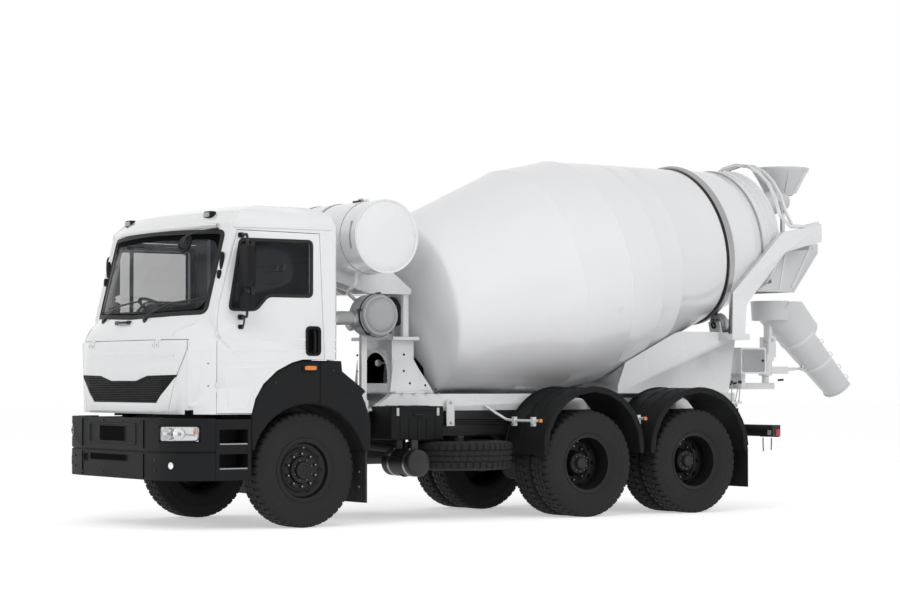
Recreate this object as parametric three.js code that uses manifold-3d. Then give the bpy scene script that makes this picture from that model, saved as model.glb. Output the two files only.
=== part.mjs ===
// A three-axle concrete mixer truck: chassis, tilting cab, drum on its two stands, hoppers and chute.
// Millimetres, +Z up. The truck faces -Y and its left side is +X. While it is built, y = 0 is the
// front axle; the finished group is moved so that the origin is the middle of the truck's footprint.
import * as THREE from "three";
import { mergeVertices } from "three/addons/utils/BufferGeometryUtils.js";
import Module from "manifold-3d";

const wasm = await Module();
wasm.setup();

// ---------------------------------------------------------------- driving dimensions

const seatGap = 0.3; // between two pieces that rest on each other
const jointGap = 6; // between a moving piece and its surround

// Tyres, wheels and axles
const tyreRadius = 527;
const tyreWidth = 278;
const beadRadius = 285;
const rimWidth = 220;
const rimThickness = 22;
const wheelSides = 16;
const frontWheelX = 1010;
const rearOuterX = 1061;
const twinSpacing = 315;
const frontAxleY = 0;
const firstRearAxleY = 3213;
const bogieSpread = 1360;
const axleHeight = tyreRadius;
const kingpinX = 880;
const kingpinRadius = 21;
const stubRadius = 40;
const spindleRadius = 55;
const boreClearance = 2;
const hubRadius = 110;

// Chassis frame
const railOuterX = 430;
const railFlange = 85;
const railWall = 12;
const railBottom = 800;
const railTop = 1050;
const frameFront = -1080;
const frameRear = 5800;
const crossMemberDepth = 90;

// Cab
const cabHalfWidth = 1220;
const cabBottom = 1045;
const cabRear = 300;
const cabWall = 55;
const cabFrontWall = 95;
const cabTop = 2950;
const beltHeight = 1935;
const gutterHeight = 2705;
const floorRecess = 40;
const panelThickness = 26;
const panelStep = 12; // the inner half of its thickness stands this far inside its edge
const glassInset = 14;
const glassThickness = 6;
const hingeRadius = 11;
const hingeLength = 45;
const cabPivot = { y: -1150, z: 1068, radius: 14 };
const pivotInside = 372; // where the cab's pivots meet the frame's
const deckHeight = 1540;
const driverX = -560;

// Mixer
const drumTilt = THREE.MathUtils.degToRad(11.8);
const drumAxisY = 1000;
const drumAxisZ = 1890;
const drumWall = 16;
const drumHeadStation = 889;
const drumHeadRadius = 866;
const drumFullStart = 2243;
const drumFullEnd = 2824;
const drumFullRadius = 1172;
const trackStation = 4430;
const trackRadius = 855;
const trackWidth = 70;
const mouthStation = 5275;
const mouthRadius = 654;
const drumSides = 28;
const drumClearance = 25;
const rollerRadius = 110;
const rollerWidth = 90;
const rollerPinRadius = 25;
const rollerPinHole = (rollerPinRadius + seatGap) / Math.cos(Math.PI / 12); // its flats clear the pin
const rollerAngle = THREE.MathUtils.degToRad(28);
const subframeTop = 1215;
const pedestalTop = 1775;
const tankRadius = 350;
const tankHalfLength = 1000;
const tankSides = 24;
const tankY = 970;
const tankZ = 2710;
const armX = 750;
const armHalf = 30;
const swingY = 6560;
const chuteWall = 12;

// ---------------------------------------------------------------- shapes

// The closed mesh of a three.js geometry as a solid whose faces point out.
function solidOf(geometry) {
  if (!geometry.isBufferGeometry) return geometry;
  const bare = geometry.clone();
  for (const name of Object.keys(bare.attributes)) {
    if (name !== "position") bare.deleteAttribute(name);
  }
  const merged = mergeVertices(bare, 1e-3);
  const vertProperties = merged.attributes.position.array;
  const triVerts = new Uint32Array(merged.index.array);
  const solid = new wasm.Manifold(new wasm.Mesh({ numProp: 3, vertProperties, triVerts }));
  if (solid.volume() > 0) return solid;
  return new wasm.Manifold(
    new wasm.Mesh({ numProp: 3, vertProperties, triVerts: triVerts.slice().reverse() }),
  );
}

// The surface of a solid as a three.js geometry.
function geometryOf(solid) {
  const { numProp, numVert, vertProperties, triVerts } = solid.getMesh();
  const positions = new Float32Array(numVert * 3);
  for (let i = 0; i < numVert; i++) {
    positions.set(vertProperties.subarray(i * numProp, i * numProp + 3), i * 3);
  }
  const geometry = new THREE.BufferGeometry();
  geometry.setAttribute("position", new THREE.BufferAttribute(positions, 3));
  geometry.setIndex(new THREE.BufferAttribute(triVerts.slice(), 1));
  return geometry;
}

const join = (...pieces) => pieces.map(solidOf).reduce((whole, piece) => whole.add(piece));
const cut = (body, ...tools) => tools.map(solidOf).reduce((left, tool) => left.subtract(tool), solidOf(body));
const common = (...pieces) => pieces.map(solidOf).reduce((whole, piece) => whole.intersect(piece));

// The same piece on the other side of the truck.
function mirrored(piece) {
  const geometry = geometryOf(solidOf(piece));
  geometry.scale(-1, 1, 1);
  geometry.index.array.reverse();
  return geometry;
}

const pair = (piece) => join(piece, mirrored(piece));

function moved(piece, x, y, z) {
  return geometryOf(solidOf(piece)).translate(x, y, z);
}

function box(x0, x1, y0, y1, z0, z1) {
  const geometry = new THREE.BoxGeometry(x1 - x0, y1 - y0, z1 - z0);
  return geometry.translate((x0 + x1) / 2, (y0 + y1) / 2, (z0 + z1) / 2);
}

// A straight round bar between two points.
function bar(from, to, radius, sides = 12, endRadius = radius) {
  const start = new THREE.Vector3(...from);
  const end = new THREE.Vector3(...to);
  const along = end.clone().sub(start);
  const geometry = new THREE.CylinderGeometry(endRadius, radius, along.length(), sides);
  const turn = new THREE.Quaternion().setFromUnitVectors(new THREE.Vector3(0, 1, 0), along.normalize());
  return geometry.applyQuaternion(turn).translate(...start.add(end).multiplyScalar(0.5).toArray());
}

function shapeOf(outline) {
  if (outline.isShape) return outline;
  return new THREE.Shape(outline.map(([u, v]) => new THREE.Vector2(u, v)));
}

// An outline in X and Y, between two heights.
function prismZ(outline, z0, z1) {
  const solid = new THREE.ExtrudeGeometry(shapeOf(outline), { depth: z1 - z0, bevelEnabled: false });
  return solid.translate(0, 0, z0);
}

// An outline in Y and Z, between two places across the truck.
function prismX(outline, x0, x1) {
  const axes = new THREE.Matrix4().makeBasis(
    new THREE.Vector3(0, 1, 0),
    new THREE.Vector3(0, 0, 1),
    new THREE.Vector3(1, 0, 0),
  );
  const geometry = new THREE.ExtrudeGeometry(shapeOf(outline), { depth: x1 - x0, bevelEnabled: false });
  return geometry.applyMatrix4(axes).translate(x0, 0, 0);
}

// An outline in X and Z, between two places along the truck.
function prismY(outline, y0, y1) {
  const geometry = new THREE.ExtrudeGeometry(shapeOf(outline), { depth: y1 - y0, bevelEnabled: false });
  return geometry.rotateX(Math.PI / 2).translate(0, y1, 0);
}

// A profile of [radius, distance along the axis] turned about the Y axis.
function turnedY(profile, sides) {
  return new THREE.LatheGeometry(profile.map(([r, h]) => new THREE.Vector2(r, h)), sides);
}

// The same about the X axis, with a flat side at the bottom, and about the Z axis.
const turnedX = (profile, sides) => turnedY(profile, sides).rotateZ(-Math.PI / 2).rotateX(Math.PI / sides);
const turnedZ = (profile, sides) => turnedY(profile, sides).rotateX(Math.PI / 2);

// A round tube along a smooth curve through the points.
function tube(points, radius, steps, sides = 8) {
  const path = new THREE.CatmullRomCurve3(points.map((p) => new THREE.Vector3(...p)), false, "centripetal");
  const section = new THREE.Shape(ring(0, 0, radius, sides));
  return new THREE.ExtrudeGeometry(section, { steps, extrudePath: path, bevelEnabled: false });
}

// Points on a circle, all the way round.
function ring(u, v, radius, sides) {
  return Array.from({ length: sides }, (_, i) => {
    const angle = (i * 2 * Math.PI) / sides;
    return new THREE.Vector2(u + radius * Math.cos(angle), v + radius * Math.sin(angle));
  });
}

// Points on an arc, from one angle to another in degrees.
function arc(u, v, radius, fromDegrees, toDegrees, steps) {
  return Array.from({ length: steps + 1 }, (_, i) => {
    const angle = THREE.MathUtils.degToRad(fromDegrees + ((toDegrees - fromDegrees) * i) / steps);
    return [u + radius * Math.cos(angle), v + radius * Math.sin(angle)];
  });
}

// A counterclockwise outline moved out by a distance, or in where the distance is negative.
function grown(outline, distance) {
  const count = outline.length;
  const edges = outline.map(([u, v], i) => {
    const [nextU, nextV] = outline[(i + 1) % count];
    const length = Math.hypot(nextU - u, nextV - v);
    const normal = [(nextV - v) / length, (u - nextU) / length];
    return { normal, reach: normal[0] * u + normal[1] * v + distance };
  });
  return edges.map((edge, i) => {
    const before = edges[(i + count - 1) % count];
    const turn = before.normal[0] * edge.normal[1] - before.normal[1] * edge.normal[0];
    if (Math.abs(turn) < 1e-6) {
      return [outline[i][0] + edge.normal[0] * distance, outline[i][1] + edge.normal[1] * distance];
    }
    return [
      (before.reach * edge.normal[1] - edge.reach * before.normal[1]) / turn,
      (edge.reach * before.normal[0] - before.reach * edge.normal[0]) / turn,
    ];
  });
}

// A closed skin over a stack of level outlines that have the same number of points.
function stack(rings) {
  const count = rings[0].length;
  const index = [];
  for (let level = 0; level + 1 < rings.length; level++) {
    for (let i = 0; i < count; i++) {
      const here = level * count + i;
      const next = level * count + ((i + 1) % count);
      index.push(here, next, next + count, here, next + count, here + count);
    }
  }
  const top = (rings.length - 1) * count;
  for (let i = 1; i + 1 < count; i++) {
    index.push(0, i + 1, i, top, top + i, top + i + 1);
  }
  const geometry = new THREE.BufferGeometry();
  geometry.setAttribute("position", new THREE.Float32BufferAttribute(rings.flat(2), 3));
  return geometry.setIndex(index);
}

// Places a geometry that was made about the drum's axis, whose local Y runs up towards the mouth.
const drumMatrix = new THREE.Matrix4()
  .makeTranslation(0, drumAxisY, drumAxisZ)
  .multiply(new THREE.Matrix4().makeRotationX(drumTilt));
const onDrumAxis = (geometry) => geometry.applyMatrix4(drumMatrix);

// ---------------------------------------------------------------- materials

function material(color, roughness, metalness = 0) {
  return new THREE.MeshStandardMaterial({ color, roughness, metalness });
}

const whitePaint = material(0xe9eaec, 0.3);
const blackPaint = material(0x1b1c1e, 0.5);
const darkPlastic = material(0x26282b, 0.65);
const rubber = material(0x161718, 0.9);
const blackSteel = material(0x1d1e20, 0.45, 0.3);
const bareSteel = material(0x8d9094, 0.35, 0.9);
const castIron = material(0x3a3b3d, 0.7, 0.4);
const darkGlass = material(0x20262b, 0.08);
const greyTrim = material(0x55585c, 0.8);
const seatCloth = material(0x3a3d42, 0.95);

// ---------------------------------------------------------------- the parts

const truck = new THREE.Group();

function add(name, piece, finish) {
  const mesh = new THREE.Mesh(geometryOf(solidOf(piece)), finish);
  mesh.name = name;
  truck.add(mesh);
  return mesh;
}

// The same piece on both sides: the left one as made, the right one mirrored.
function addPair(name, piece, finish) {
  add(`${name}_left`, piece, finish);
  add(`${name}_right`, piece, finish).scale.x = -1;
}

// --- wheels

const flatToCorner = 1 / Math.cos(Math.PI / wheelSides);
const treadRadius = tyreRadius * flatToCorner;
const rimRadius = beadRadius - seatGap;
const rimInside = rimRadius - rimThickness;

function tyre() {
  const half = tyreWidth / 2;
  const profile = [
    [beadRadius, -half + 24],
    [beadRadius + 115, -half],
    [treadRadius - 27, -half + 7],
    [treadRadius, -half + 34],
    [treadRadius, half - 34],
    [treadRadius - 27, half - 7],
    [beadRadius + 115, half],
    [beadRadius, half - 24],
  ];
  return turnedX([...profile, profile[0]], wheelSides);
}

// One wheel with its hub: the rim is centred on x = 0 and the hub's blind bore opens inwards.
function frontWheel(boreStart, boreEnd) {
  const half = rimWidth / 2;
  const bore = stubRadius + boreClearance;
  return turnedX(
    [
      [0, boreEnd],
      [bore, boreEnd],
      [bore, boreStart],
      [hubRadius, boreStart],
      [hubRadius + 25, 20],
      [rimInside, 60],
      [rimInside, -half],
      [rimRadius, -half],
      [rimRadius, half],
      [rimInside, half],
      [rimInside, 84],
      [hubRadius + 55, 44],
      [hubRadius, 60],
      [hubRadius - 25, 118],
      [0, 118],
    ],
    wheelSides,
  );
}

// Twin rims bolted back to back on one hub, placed about the outer rim's middle.
function twinWheel(boreStart, boreEnd) {
  const half = rimWidth / 2;
  const inner = -twinSpacing;
  const middle = -twinSpacing / 2;
  const bore = spindleRadius + boreClearance;
  return turnedX(
    [
      [0, boreEnd],
      [bore, boreEnd],
      [bore, boreStart],
      [hubRadius, boreStart],
      [hubRadius, middle - 34],
      [rimInside, inner + half - 26],
      [rimInside, inner - half],
      [rimRadius, inner - half],
      [rimRadius, inner + half],
      [hubRadius + 90, middle],
      [rimRadius, -half],
      [rimRadius, half],
      [rimInside, half],
      [rimInside, -half + 26],
      [hubRadius + 40, middle + 34],
      [hubRadius, middle + 34],
      [hubRadius - 15, boreEnd + 40],
      [0, boreEnd + 40],
    ],
    wheelSides,
  );
}

const stubEnd = frontWheelX + 65;
const spindleEnd = rearOuterX + 24;

function addWheels() {
  const wheel = moved(frontWheel(-40, stubEnd + seatGap - frontWheelX), frontWheelX, frontAxleY, axleHeight);
  addPair("tyre_front", moved(tyre(), frontWheelX, frontAxleY, axleHeight), rubber);
  addPair("wheel_front", wheel, blackSteel);
  for (const [axle, y] of [firstRearAxleY, firstRearAxleY + bogieSpread].entries()) {
    const twin = twinWheel(-twinSpacing - 60, spindleEnd + seatGap - rearOuterX);
    addPair(`tyre_rear_${axle + 1}_outer`, moved(tyre(), rearOuterX, y, axleHeight), rubber);
    addPair(`tyre_rear_${axle + 1}_inner`, moved(tyre(), rearOuterX - twinSpacing, y, axleHeight), rubber);
    addPair(`wheel_rear_${axle + 1}`, moved(twin, rearOuterX, y, axleHeight), blackSteel);
  }
}

// --- axles and suspension

const eyeRadius = 45;
const eyeHalfHeight = 60;
const lugHeight = 40;
const springX = 400;
const springHalf = 40;
const springReach = 760;

function addFrontAxle() {
  const low = axleHeight - eyeHalfHeight;
  const high = axleHeight + eyeHalfHeight;
  const beam = box(-kingpinX + 20, kingpinX - 20, -45, 45, low + 5, high - 5);
  const eye = bar([kingpinX, 0, low], [kingpinX, 0, high], eyeRadius);
  const hole = kingpinRadius + boreClearance;
  const bore = bar([kingpinX, 0, axleHeight - 100], [kingpinX, 0, axleHeight + 100], hole, 12);
  const leaves = [
    [-springReach, railBottom - 90],
    [-0.5 * springReach, railBottom - 190],
    [0, railBottom - 225],
    [0.5 * springReach, railBottom - 190],
    [springReach, railBottom - 90],
    [springReach, railBottom - 40],
    [0.5 * springReach, railBottom - 130],
    [0, railBottom - 150],
    [-0.5 * springReach, railBottom - 130],
    [-springReach, railBottom - 40],
  ];
  const spring = prismX(leaves, springX - springHalf, springX + springHalf);
  const clamp = box(springX - 60, springX + 60, -60, 60, axleHeight - 60, railBottom - 140);
  const hangerTop = railBottom - seatGap;
  const hanger = (y) => box(springX - 30, springX + 30, y - 30, y + 30, railBottom - 95, hangerTop);
  const side = join(eye, spring, clamp, hanger(-springReach + 30), hanger(springReach - 30));
  add("front_axle", cut(join(beam, pair(side)), bore, mirrored(bore)), castIron);
}

// The knuckle holds the kingpin above and below the beam's eye and carries the stub of its wheel.
function addKnuckles() {
  const lugGap = 0.5;
  const webX = kingpinX + eyeRadius + 10;
  const low = axleHeight - eyeHalfHeight - lugGap;
  const high = axleHeight + eyeHalfHeight + lugGap;
  const lug = (z0, z1) =>
    join(bar([kingpinX, 0, z0], [kingpinX, 0, z1], eyeRadius - 5), box(kingpinX, webX + 30, -40, 40, z0, z1));
  const web = box(webX, webX + 30, -60, 60, low - lugHeight, high + lugHeight);
  const pin = bar([kingpinX, 0, low - 5], [kingpinX, 0, high + 5], kingpinRadius, 12);
  const stub = bar([webX + 10, 0, axleHeight], [stubEnd, 0, axleHeight], stubRadius, wheelSides);
  addPair("knuckle", join(lug(low - lugHeight, low), lug(high, high + lugHeight), web, pin, stub), castIron);
}

const housingRadius = 75;
const springSeatTop = axleHeight + housingRadius + 8;
const bogieSpringX = 490;
const gearboxEnd = 1100;
const noseReach = 330;
const shaftRadius = 45;
const shaftStartZ = 740;

// How far back the slanted shaft starts, to a tenth of a millimetre, so that its end face clears the gearbox.
function shaftLead(run, rise) {
  const reach = shaftRadius * Math.abs(rise / Math.hypot(run, rise));
  return Math.ceil((seatGap + reach) * 10) / 10;
}

function rearAxle(y) {
  const housing = bar([-640, y, axleHeight], [640, y, axleHeight], housingRadius);
  const spindle = bar([-spindleEnd, y, axleHeight], [spindleEnd, y, axleHeight], spindleRadius, wheelSides);
  const gears = bar([0, y - 110, axleHeight], [0, y + 110, axleHeight], 185, 16);
  const nose = bar([0, y - noseReach, axleHeight + 20], [0, y - 100, axleHeight + 20], 75);
  const seat = box(bogieSpringX - 60, bogieSpringX + 60, y - 60, y + 60, axleHeight, springSeatTop);
  return join(housing, spindle, gears, nose, pair(seat));
}

function addRearAxles() {
  const second = firstRearAxleY + bogieSpread;
  const shaftZ = axleHeight + 20;
  const noseEnd = firstRearAxleY - noseReach + 5;
  const shaftStart = gearboxEnd + shaftLead(noseEnd - gearboxEnd, shaftZ - shaftStartZ);
  const mainShaft = bar([0, shaftStart, shaftStartZ], [0, noseEnd, shaftZ], shaftRadius);
  const rearShaft = bar([0, firstRearAxleY + 110 + seatGap, shaftZ], [0, second - noseReach + 5, shaftZ], 40);
  add("rear_axle_1", join(rearAxle(firstRearAxleY), mainShaft), castIron);
  add("rear_axle_2", join(rearAxle(second), rearShaft), castIron);
}

function addBogieSprings() {
  const middle = firstRearAxleY + bogieSpread / 2;
  const reach = bogieSpread / 2 + 60;
  const base = springSeatTop + seatGap;
  const leaves = [
    [middle - reach, base],
    [middle - reach + 130, base],
    [middle - 150, base + 60],
    [middle + 150, base + 60],
    [middle + reach - 130, base],
    [middle + reach, base],
    [middle + reach, base + 35],
    [middle + 150, base + 160],
    [middle - 150, base + 160],
    [middle - reach, base + 35],
  ];
  const spring = prismX(leaves, bogieSpringX - 45, bogieSpringX + 45);
  const inner = railOuterX - railFlange;
  const saddle = box(inner, bogieSpringX + 50, middle - 75, middle + 75, base + 90, railBottom - seatGap);
  const trunnion = bar([-bogieSpringX, middle, base + 110], [bogieSpringX, middle, base + 110], 50);
  add("bogie_springs", join(pair(join(spring, saddle)), trunnion), castIron);
}

// --- chassis

const spareX = 600;
const spareY = 2060;
const spareTop = 760;

function addChassisFrame() {
  const inner = railOuterX - railFlange;
  const web = railOuterX - railWall;
  const channel = [
    [railOuterX, railBottom],
    [railOuterX, railTop],
    [inner, railTop],
    [inner, railTop - railWall],
    [web, railTop - railWall],
    [web, railBottom + railWall],
    [inner, railBottom + railWall],
    [inner, railBottom],
  ];
  const rail = prismY(channel, frameFront, frameRear);
  const members = [-960, 1250, 2350, firstRearAxleY + bogieSpread / 2, 5250].map((y) =>
    box(-web - 2, web + 2, y - crossMemberDepth / 2, y + crossMemberDepth / 2, railBottom + 30, railTop - 30),
  );
  const guardBeam = box(-1100, 1100, frameRear - 110, frameRear, railBottom - 40, railBottom + 80);
  const mountHoop = join(
    box(inner, railOuterX, 190, 250, railTop - 10, deckHeight - seatGap),
    box(-railOuterX, railOuterX, 190, 250, deckHeight - 90, deckHeight - seatGap),
  );
  const pivotEnd = [railOuterX - 5, cabPivot.y, cabPivot.z];
  const pivotBar = bar([pivotInside, cabPivot.y, cabPivot.z], pivotEnd, cabPivot.radius);
  const pivotStay = box(372, railOuterX - 5, cabPivot.y - 12, frameFront + 40, railTop - 30, cabPivot.z - 6);
  const carrierArm = box(inner + 5, spareX + 40, spareY - 35, spareY + 35, railBottom - 30, railBottom + 5);
  const carrierRod = bar([spareX, spareY, spareTop - 110 + seatGap], [spareX, spareY, railBottom - 10], 16);
  const sides = pair(join(rail, mountHoop, pivotBar, pivotStay));
  add("chassis_frame", join(sides, ...members, guardBeam, carrierArm, carrierRod), blackPaint);
}

const bumperFront = -1400;
const bumperBottom = 455;
const bumperTop = 1010;

// The bumper's outer line in plan, from one side round the front to the other.
function bumperLine(inset) {
  const half = [
    [cabHalfWidth - inset, -970],
    [cabHalfWidth - 30 - inset, -1150 + 0.5 * inset],
    [cabHalfWidth - 140 - 0.7 * inset, bumperFront + 110 + 0.7 * inset],
    [cabHalfWidth - 320 - 0.2 * inset, bumperFront + 35 + inset],
    [cabHalfWidth - 590, bumperFront + 12 + inset],
  ];
  return [...half, ...half.map(([x, y]) => [-x, y]).reverse()];
}

function addBumper() {
  const outline = [...bumperLine(0), ...bumperLine(60).reverse()];
  const body = prismZ(outline, bumperBottom, bumperTop);
  const skinLine = [...bumperLine(-20), ...bumperLine(38).reverse()];
  const lampCorner = box(cabHalfWidth - 335, cabHalfWidth + 30, -1500, -1110, 790, 955);
  const lampPocket = common(prismZ(skinLine, 800, 945), lampCorner);
  const grooveLine = [...bumperLine(-20), ...bumperLine(14).reverse()];
  const groove = prismZ(grooveLine, 700, 716);
  const stay = box(345, 425, bumperFront + 50, frameFront - seatGap, railBottom + 30, railTop - 145);
  add("front_bumper", join(cut(body, lampPocket, mirrored(lampPocket), groove), pair(stay)), darkPlastic);
}

const fenderTop = deckHeight - 9;

// The front mudguard's outer line seen from the side, from its front foot over the top to its rear edge.
const fenderLine = [
  [-600, 725],
  [-600, 1040],
  [-560, 1180],
  [-480, 1310],
  [-340, 1430],
  [-180, 1505],
  [-74, fenderTop],
  [351, fenderTop],
  [430, 1430],
  [560, 1242],
  [670, 982],
  [655, 700],
];

function addFrontFenders() {
  const inside = frontWheelX - tyreWidth / 2 - 231;
  const stepInside = cabHalfWidth - 260;
  const archRadius = 605;
  const skin = 20;
  const cheek = 25;
  const outline = [...fenderLine].reverse();
  const block = prismX(outline, inside, cabHalfWidth);
  const hollow = prismX(grown(outline, -skin), inside - 10, cabHalfWidth - cheek);
  const outside = [cabHalfWidth + 10, 0, axleHeight];
  const wheelSpace = bar([inside - 20, 0, axleHeight], outside, archRadius + 5, 36);
  const archLine = arc(0, axleHeight, archRadius, 161, 0, 12);
  const linerLine = [...archLine, ...arc(0, axleHeight, archRadius + skin, 0, 161, 12)];
  const liner = prismX(linerLine, inside, cabHalfWidth);
  const flapTop = axleHeight + 20;
  const flap = box(inside + 60, cabHalfWidth - 5, archRadius + 1, archRadius + skin + 3, 215, flapTop);
  const stepBox = box(stepInside, cabHalfWidth - 5, -965, -606, bumperBottom, 1000);
  const treads = [560, 780].map((z) => box(stepInside + 50, cabHalfWidth + 5, -930, -640, z, z + 130));
  const bridge = box(stepInside, cabHalfWidth - 30, -612, -590, 760, 960);
  const frontStay = box(railOuterX + seatGap, stepInside + 10, -640, -610, 850, 900);
  const rearStay = box(railOuterX + seatGap, inside + 20, 630, 662, 850, 900);
  const shell = join(cut(block, hollow, wheelSpace), liner, flap);
  addPair("front_fender", join(shell, cut(stepBox, ...treads), bridge, frontStay, rearStay), darkPlastic);
}

const guardInside = 565;
const guardOutside = rearOuterX + tyreWidth / 2 + 20;

// Two half-round mudguards over the rear wheels of one side, on one carrier bar.
function addRearMudguards() {
  const skin = 14;
  const guard = (y, z, radius, foot) => {
    const outer = [[y + radius, foot], ...arc(y, z, radius, 0, 180, 10), [y - radius, foot]];
    const under = (depth) => {
      const edge = radius - depth;
      return [[y - edge, foot], ...arc(y, z, edge, 180, 0, 10), [y + edge, foot]];
    };
    return join(
      prismX([...outer, ...under(skin)], guardInside, guardOutside),
      prismX([...outer, ...under(45)], guardOutside - 12, guardOutside),
    );
  };
  const secondY = firstRearAxleY + bogieSpread;
  const first = guard(firstRearAxleY + 52, 665, 615, 620);
  const second = guard(secondY + 42, 635, 635, 620);
  const carrier = box(guardInside, guardInside + 35, firstRearAxleY + 100, secondY + 10, 1170, 1205);
  const bracket = (y) => box(railOuterX + seatGap, guardInside + 5, y - 20, y + 20, 1170, 1205);
  const flapY = secondY + 42 + 635;
  const flap = box(600, guardOutside, flapY - skin, flapY, 250, 640);
  const brackets = [bracket(firstRearAxleY + 190), bracket(secondY - 70)];
  addPair("rear_mudguard", join(first, second, carrier, ...brackets, flap), darkPlastic);
}

function addUnderbody() {
  const block = box(-330, 330, -420, 520, 640, 1280);
  const gearbox = box(-200, 200, 515, gearboxEnd, 580, 950);
  const mounts = [-300, 400].map((y) => box(320, railOuterX - railWall - seatGap, y, y + 80, 860, 940));
  add("engine_block", join(block, gearbox, pair(join(...mounts))), castIron);

  const tankLine = [
    [-1150, 560],
    [-1090, 500],
    [-540, 500],
    [-480, 560],
    [-480, 980],
    [-540, 1040],
    [-1090, 1040],
    [-1150, 980],
  ];
  const tankBody = prismY(tankLine, 1050, 2150);
  const hangers = [1200, 1950].map((y) => box(-490, -railOuterX - seatGap, y, y + 60, 820, 940));
  add("fuel_tank", join(tankBody, ...hangers), blackPaint);

  add("battery_box", box(railOuterX + seatGap, 800, 1150, 1750, 780, 1100), darkPlastic);
  const airTank = bar([450, 1360, 560], [1000, 1360, 560], 130, 20);
  const airStay = box(560, 600, 1330, 1390, 650, 780 - seatGap);
  add("air_tank", join(airTank, airStay), blackPaint);

  const spareTyre = tyre().rotateY(Math.PI / 2);
  const spareDisc = turnedZ(
    [
      [0, -30],
      [150, -30],
      [beadRadius + 4, -60],
      [beadRadius + 4, 60],
      [160, 30],
      [0, 30],
    ],
    wheelSides,
  );
  const spareLift = spareTop - 110 - 30;
  const spare = join(spareTyre, spareDisc);
  add("spare_wheel", moved(spare, spareX, spareY, spareLift), rubber);
}

// --- cab

const waist = { half: cabHalfWidth, flat: cabHalfWidth - 100, power: 2.8, rear: cabRear };
const lower = { half: cabHalfWidth, flat: cabHalfWidth, power: 8, rear: cabRear };
const brow = { half: cabHalfWidth - 70, flat: cabHalfWidth - 170, power: 2.6, rear: cabRear - 15 };
const roof = { half: cabHalfWidth - 290, flat: cabHalfWidth - 390, power: 2.4, rear: cabRear - 140 };

// The cab's level outlines, from its floor to its roof. Each level's front runs from the centre line
// back to the side along a power curve, which reaches the side at flat.
const cabLevels = [
  { z: cabBottom, front: -1268, side: -960, ...lower },
  { z: 1700, front: -1292, side: -960, ...lower },
  { z: 1800, front: -1262, side: -968, ...lower, flat: cabHalfWidth - 30, power: 6 },
  { z: beltHeight, front: -1200, side: -985, ...waist },
  { z: gutterHeight, front: -975, side: -800, ...waist },
  { z: 2765, front: -985, side: -800, ...waist },
  { z: 2880, front: -880, side: -690, ...brow },
  { z: cabTop, front: -560, side: -420, ...roof },
];

const frontSteps = [0, 0.35, 0.6, 0.78, 0.9, 1];

// One level's outline, moved in by the wall's thickness at the front and at the sides and back.
function cabRing(level, z, frontWall, sideWall) {
  const half = level.half - sideWall;
  const flat = level.flat - sideWall;
  const rear = level.rear - sideWall;
  const curve = frontSteps.map((t) => [
    t * flat,
    level.front + frontWall + (level.side - level.front + sideWall - frontWall) * t ** level.power,
  ]);
  const right = [...curve, [half, level.side + sideWall + 1], [half, rear - 30], [half - 30, rear]];
  const left = right.slice(1).map(([x, y]) => [-x, y]);
  return [...right, ...left.reverse()].map(([x, y]) => [x, y, z]);
}

// The line under the cab's side, which follows the front mudguard and then runs level to the back.
const archClearance = 9;
const underLine = (() => {
  const back = cabRear + 100;
  const arch = fenderLine.slice(0, 7).reverse();
  const lifted = grown([[back, 600], [back, fenderTop], ...arch, [-600, 600]], archClearance);
  return lifted.map(([y, z]) => [y, z > fenderTop ? deckHeight : z]);
})();

// The cab's box with walls taken off its outside; an inset of 0 is the outer skin.
function cabStack(frontWall, sideWall) {
  const rings = cabLevels.map((level, i) => {
    const wallHere = level.z >= beltHeight ? sideWall : frontWall;
    const z = level.z + (i === 0 ? sideWall : 0) - (i === cabLevels.length - 1 ? sideWall : 0);
    return cabRing(level, z, wallHere, sideWall);
  });
  return stack(rings);
}

// The same, with the space under its floor for the front mudguards and the chassis taken out.
function cabVolume(frontWall, sideWall) {
  const under = prismX(grown(underLine, sideWall), -cabHalfWidth - 50, cabHalfWidth + 50);
  const recessX = cabHalfWidth - 120;
  const recessTop = cabBottom + floorRecess + sideWall;
  const recess = box(-recessX, recessX, -1180, -580, cabBottom - 50, recessTop);
  return cut(cabStack(frontWall, sideWall), under, recess);
}

const doorLine = [
  [-960, 1055],
  [153, 1055],
  [153, 1540],
  [97, 2690],
  [-755, 2700],
  [-938, 2040],
  [-956, 1900],
];

const doorWindow = [
  [-836, 1985],
  [-560, 1985],
  [-440, 2115],
  [20, 2115],
  [20, 2620],
  [-728, 2620],
];

// An outline across the cab's front from one half, whose points are [distance in from the side, height].
function acrossFront(half) {
  const right = half.map(([inset, z]) => [cabHalfWidth - inset, z]);
  const left = right.filter(([x]) => x > 0).map(([x, z]) => [-x, z]);
  return [...right, ...left.reverse()];
}

const screenLine = acrossFront([
  [cabHalfWidth, 1938],
  [620, 1946],
  [152, 1968],
  [146, 2684],
  [620, 2700],
  [cabHalfWidth, 2706],
]);

const panelLine = acrossFront([
  [420, 1000],
  [170, 1632],
  [170, 1712],
]);

const grilleLine = acrossFront([
  [580, 1145],
  [240, 1400],
  [740, 1392],
  [970, 1345],
]);

const doorHinge = { x: cabHalfWidth, y: -962, heights: [1240, 1700] };
const panelSwing = 8; // what the panel's upper corners need as they drop and swing out
const panelOpening = panelLine.map(([x, z]) => [x + (z > 1600 ? Math.sign(x) * panelSwing : 0), z]);
const panelLipDepth = 33;
const panelHinge = { y: -1287, z: 1714, places: [560 - cabHalfWidth, cabHalfWidth - 560] };

// A pair of round hinge barrels end to end: the first belongs to the fixed side, the second moves.
function doorBarrels(which, radius, endGap = 0) {
  const bars = doorHinge.heights.map((z) => {
    const start = z + which * (hingeLength + seatGap) - endGap;
    const end = start + hingeLength + 2 * endGap;
    return bar([doorHinge.x, doorHinge.y, start], [doorHinge.x, doorHinge.y, end], radius, 10);
  });
  return join(...bars);
}

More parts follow.
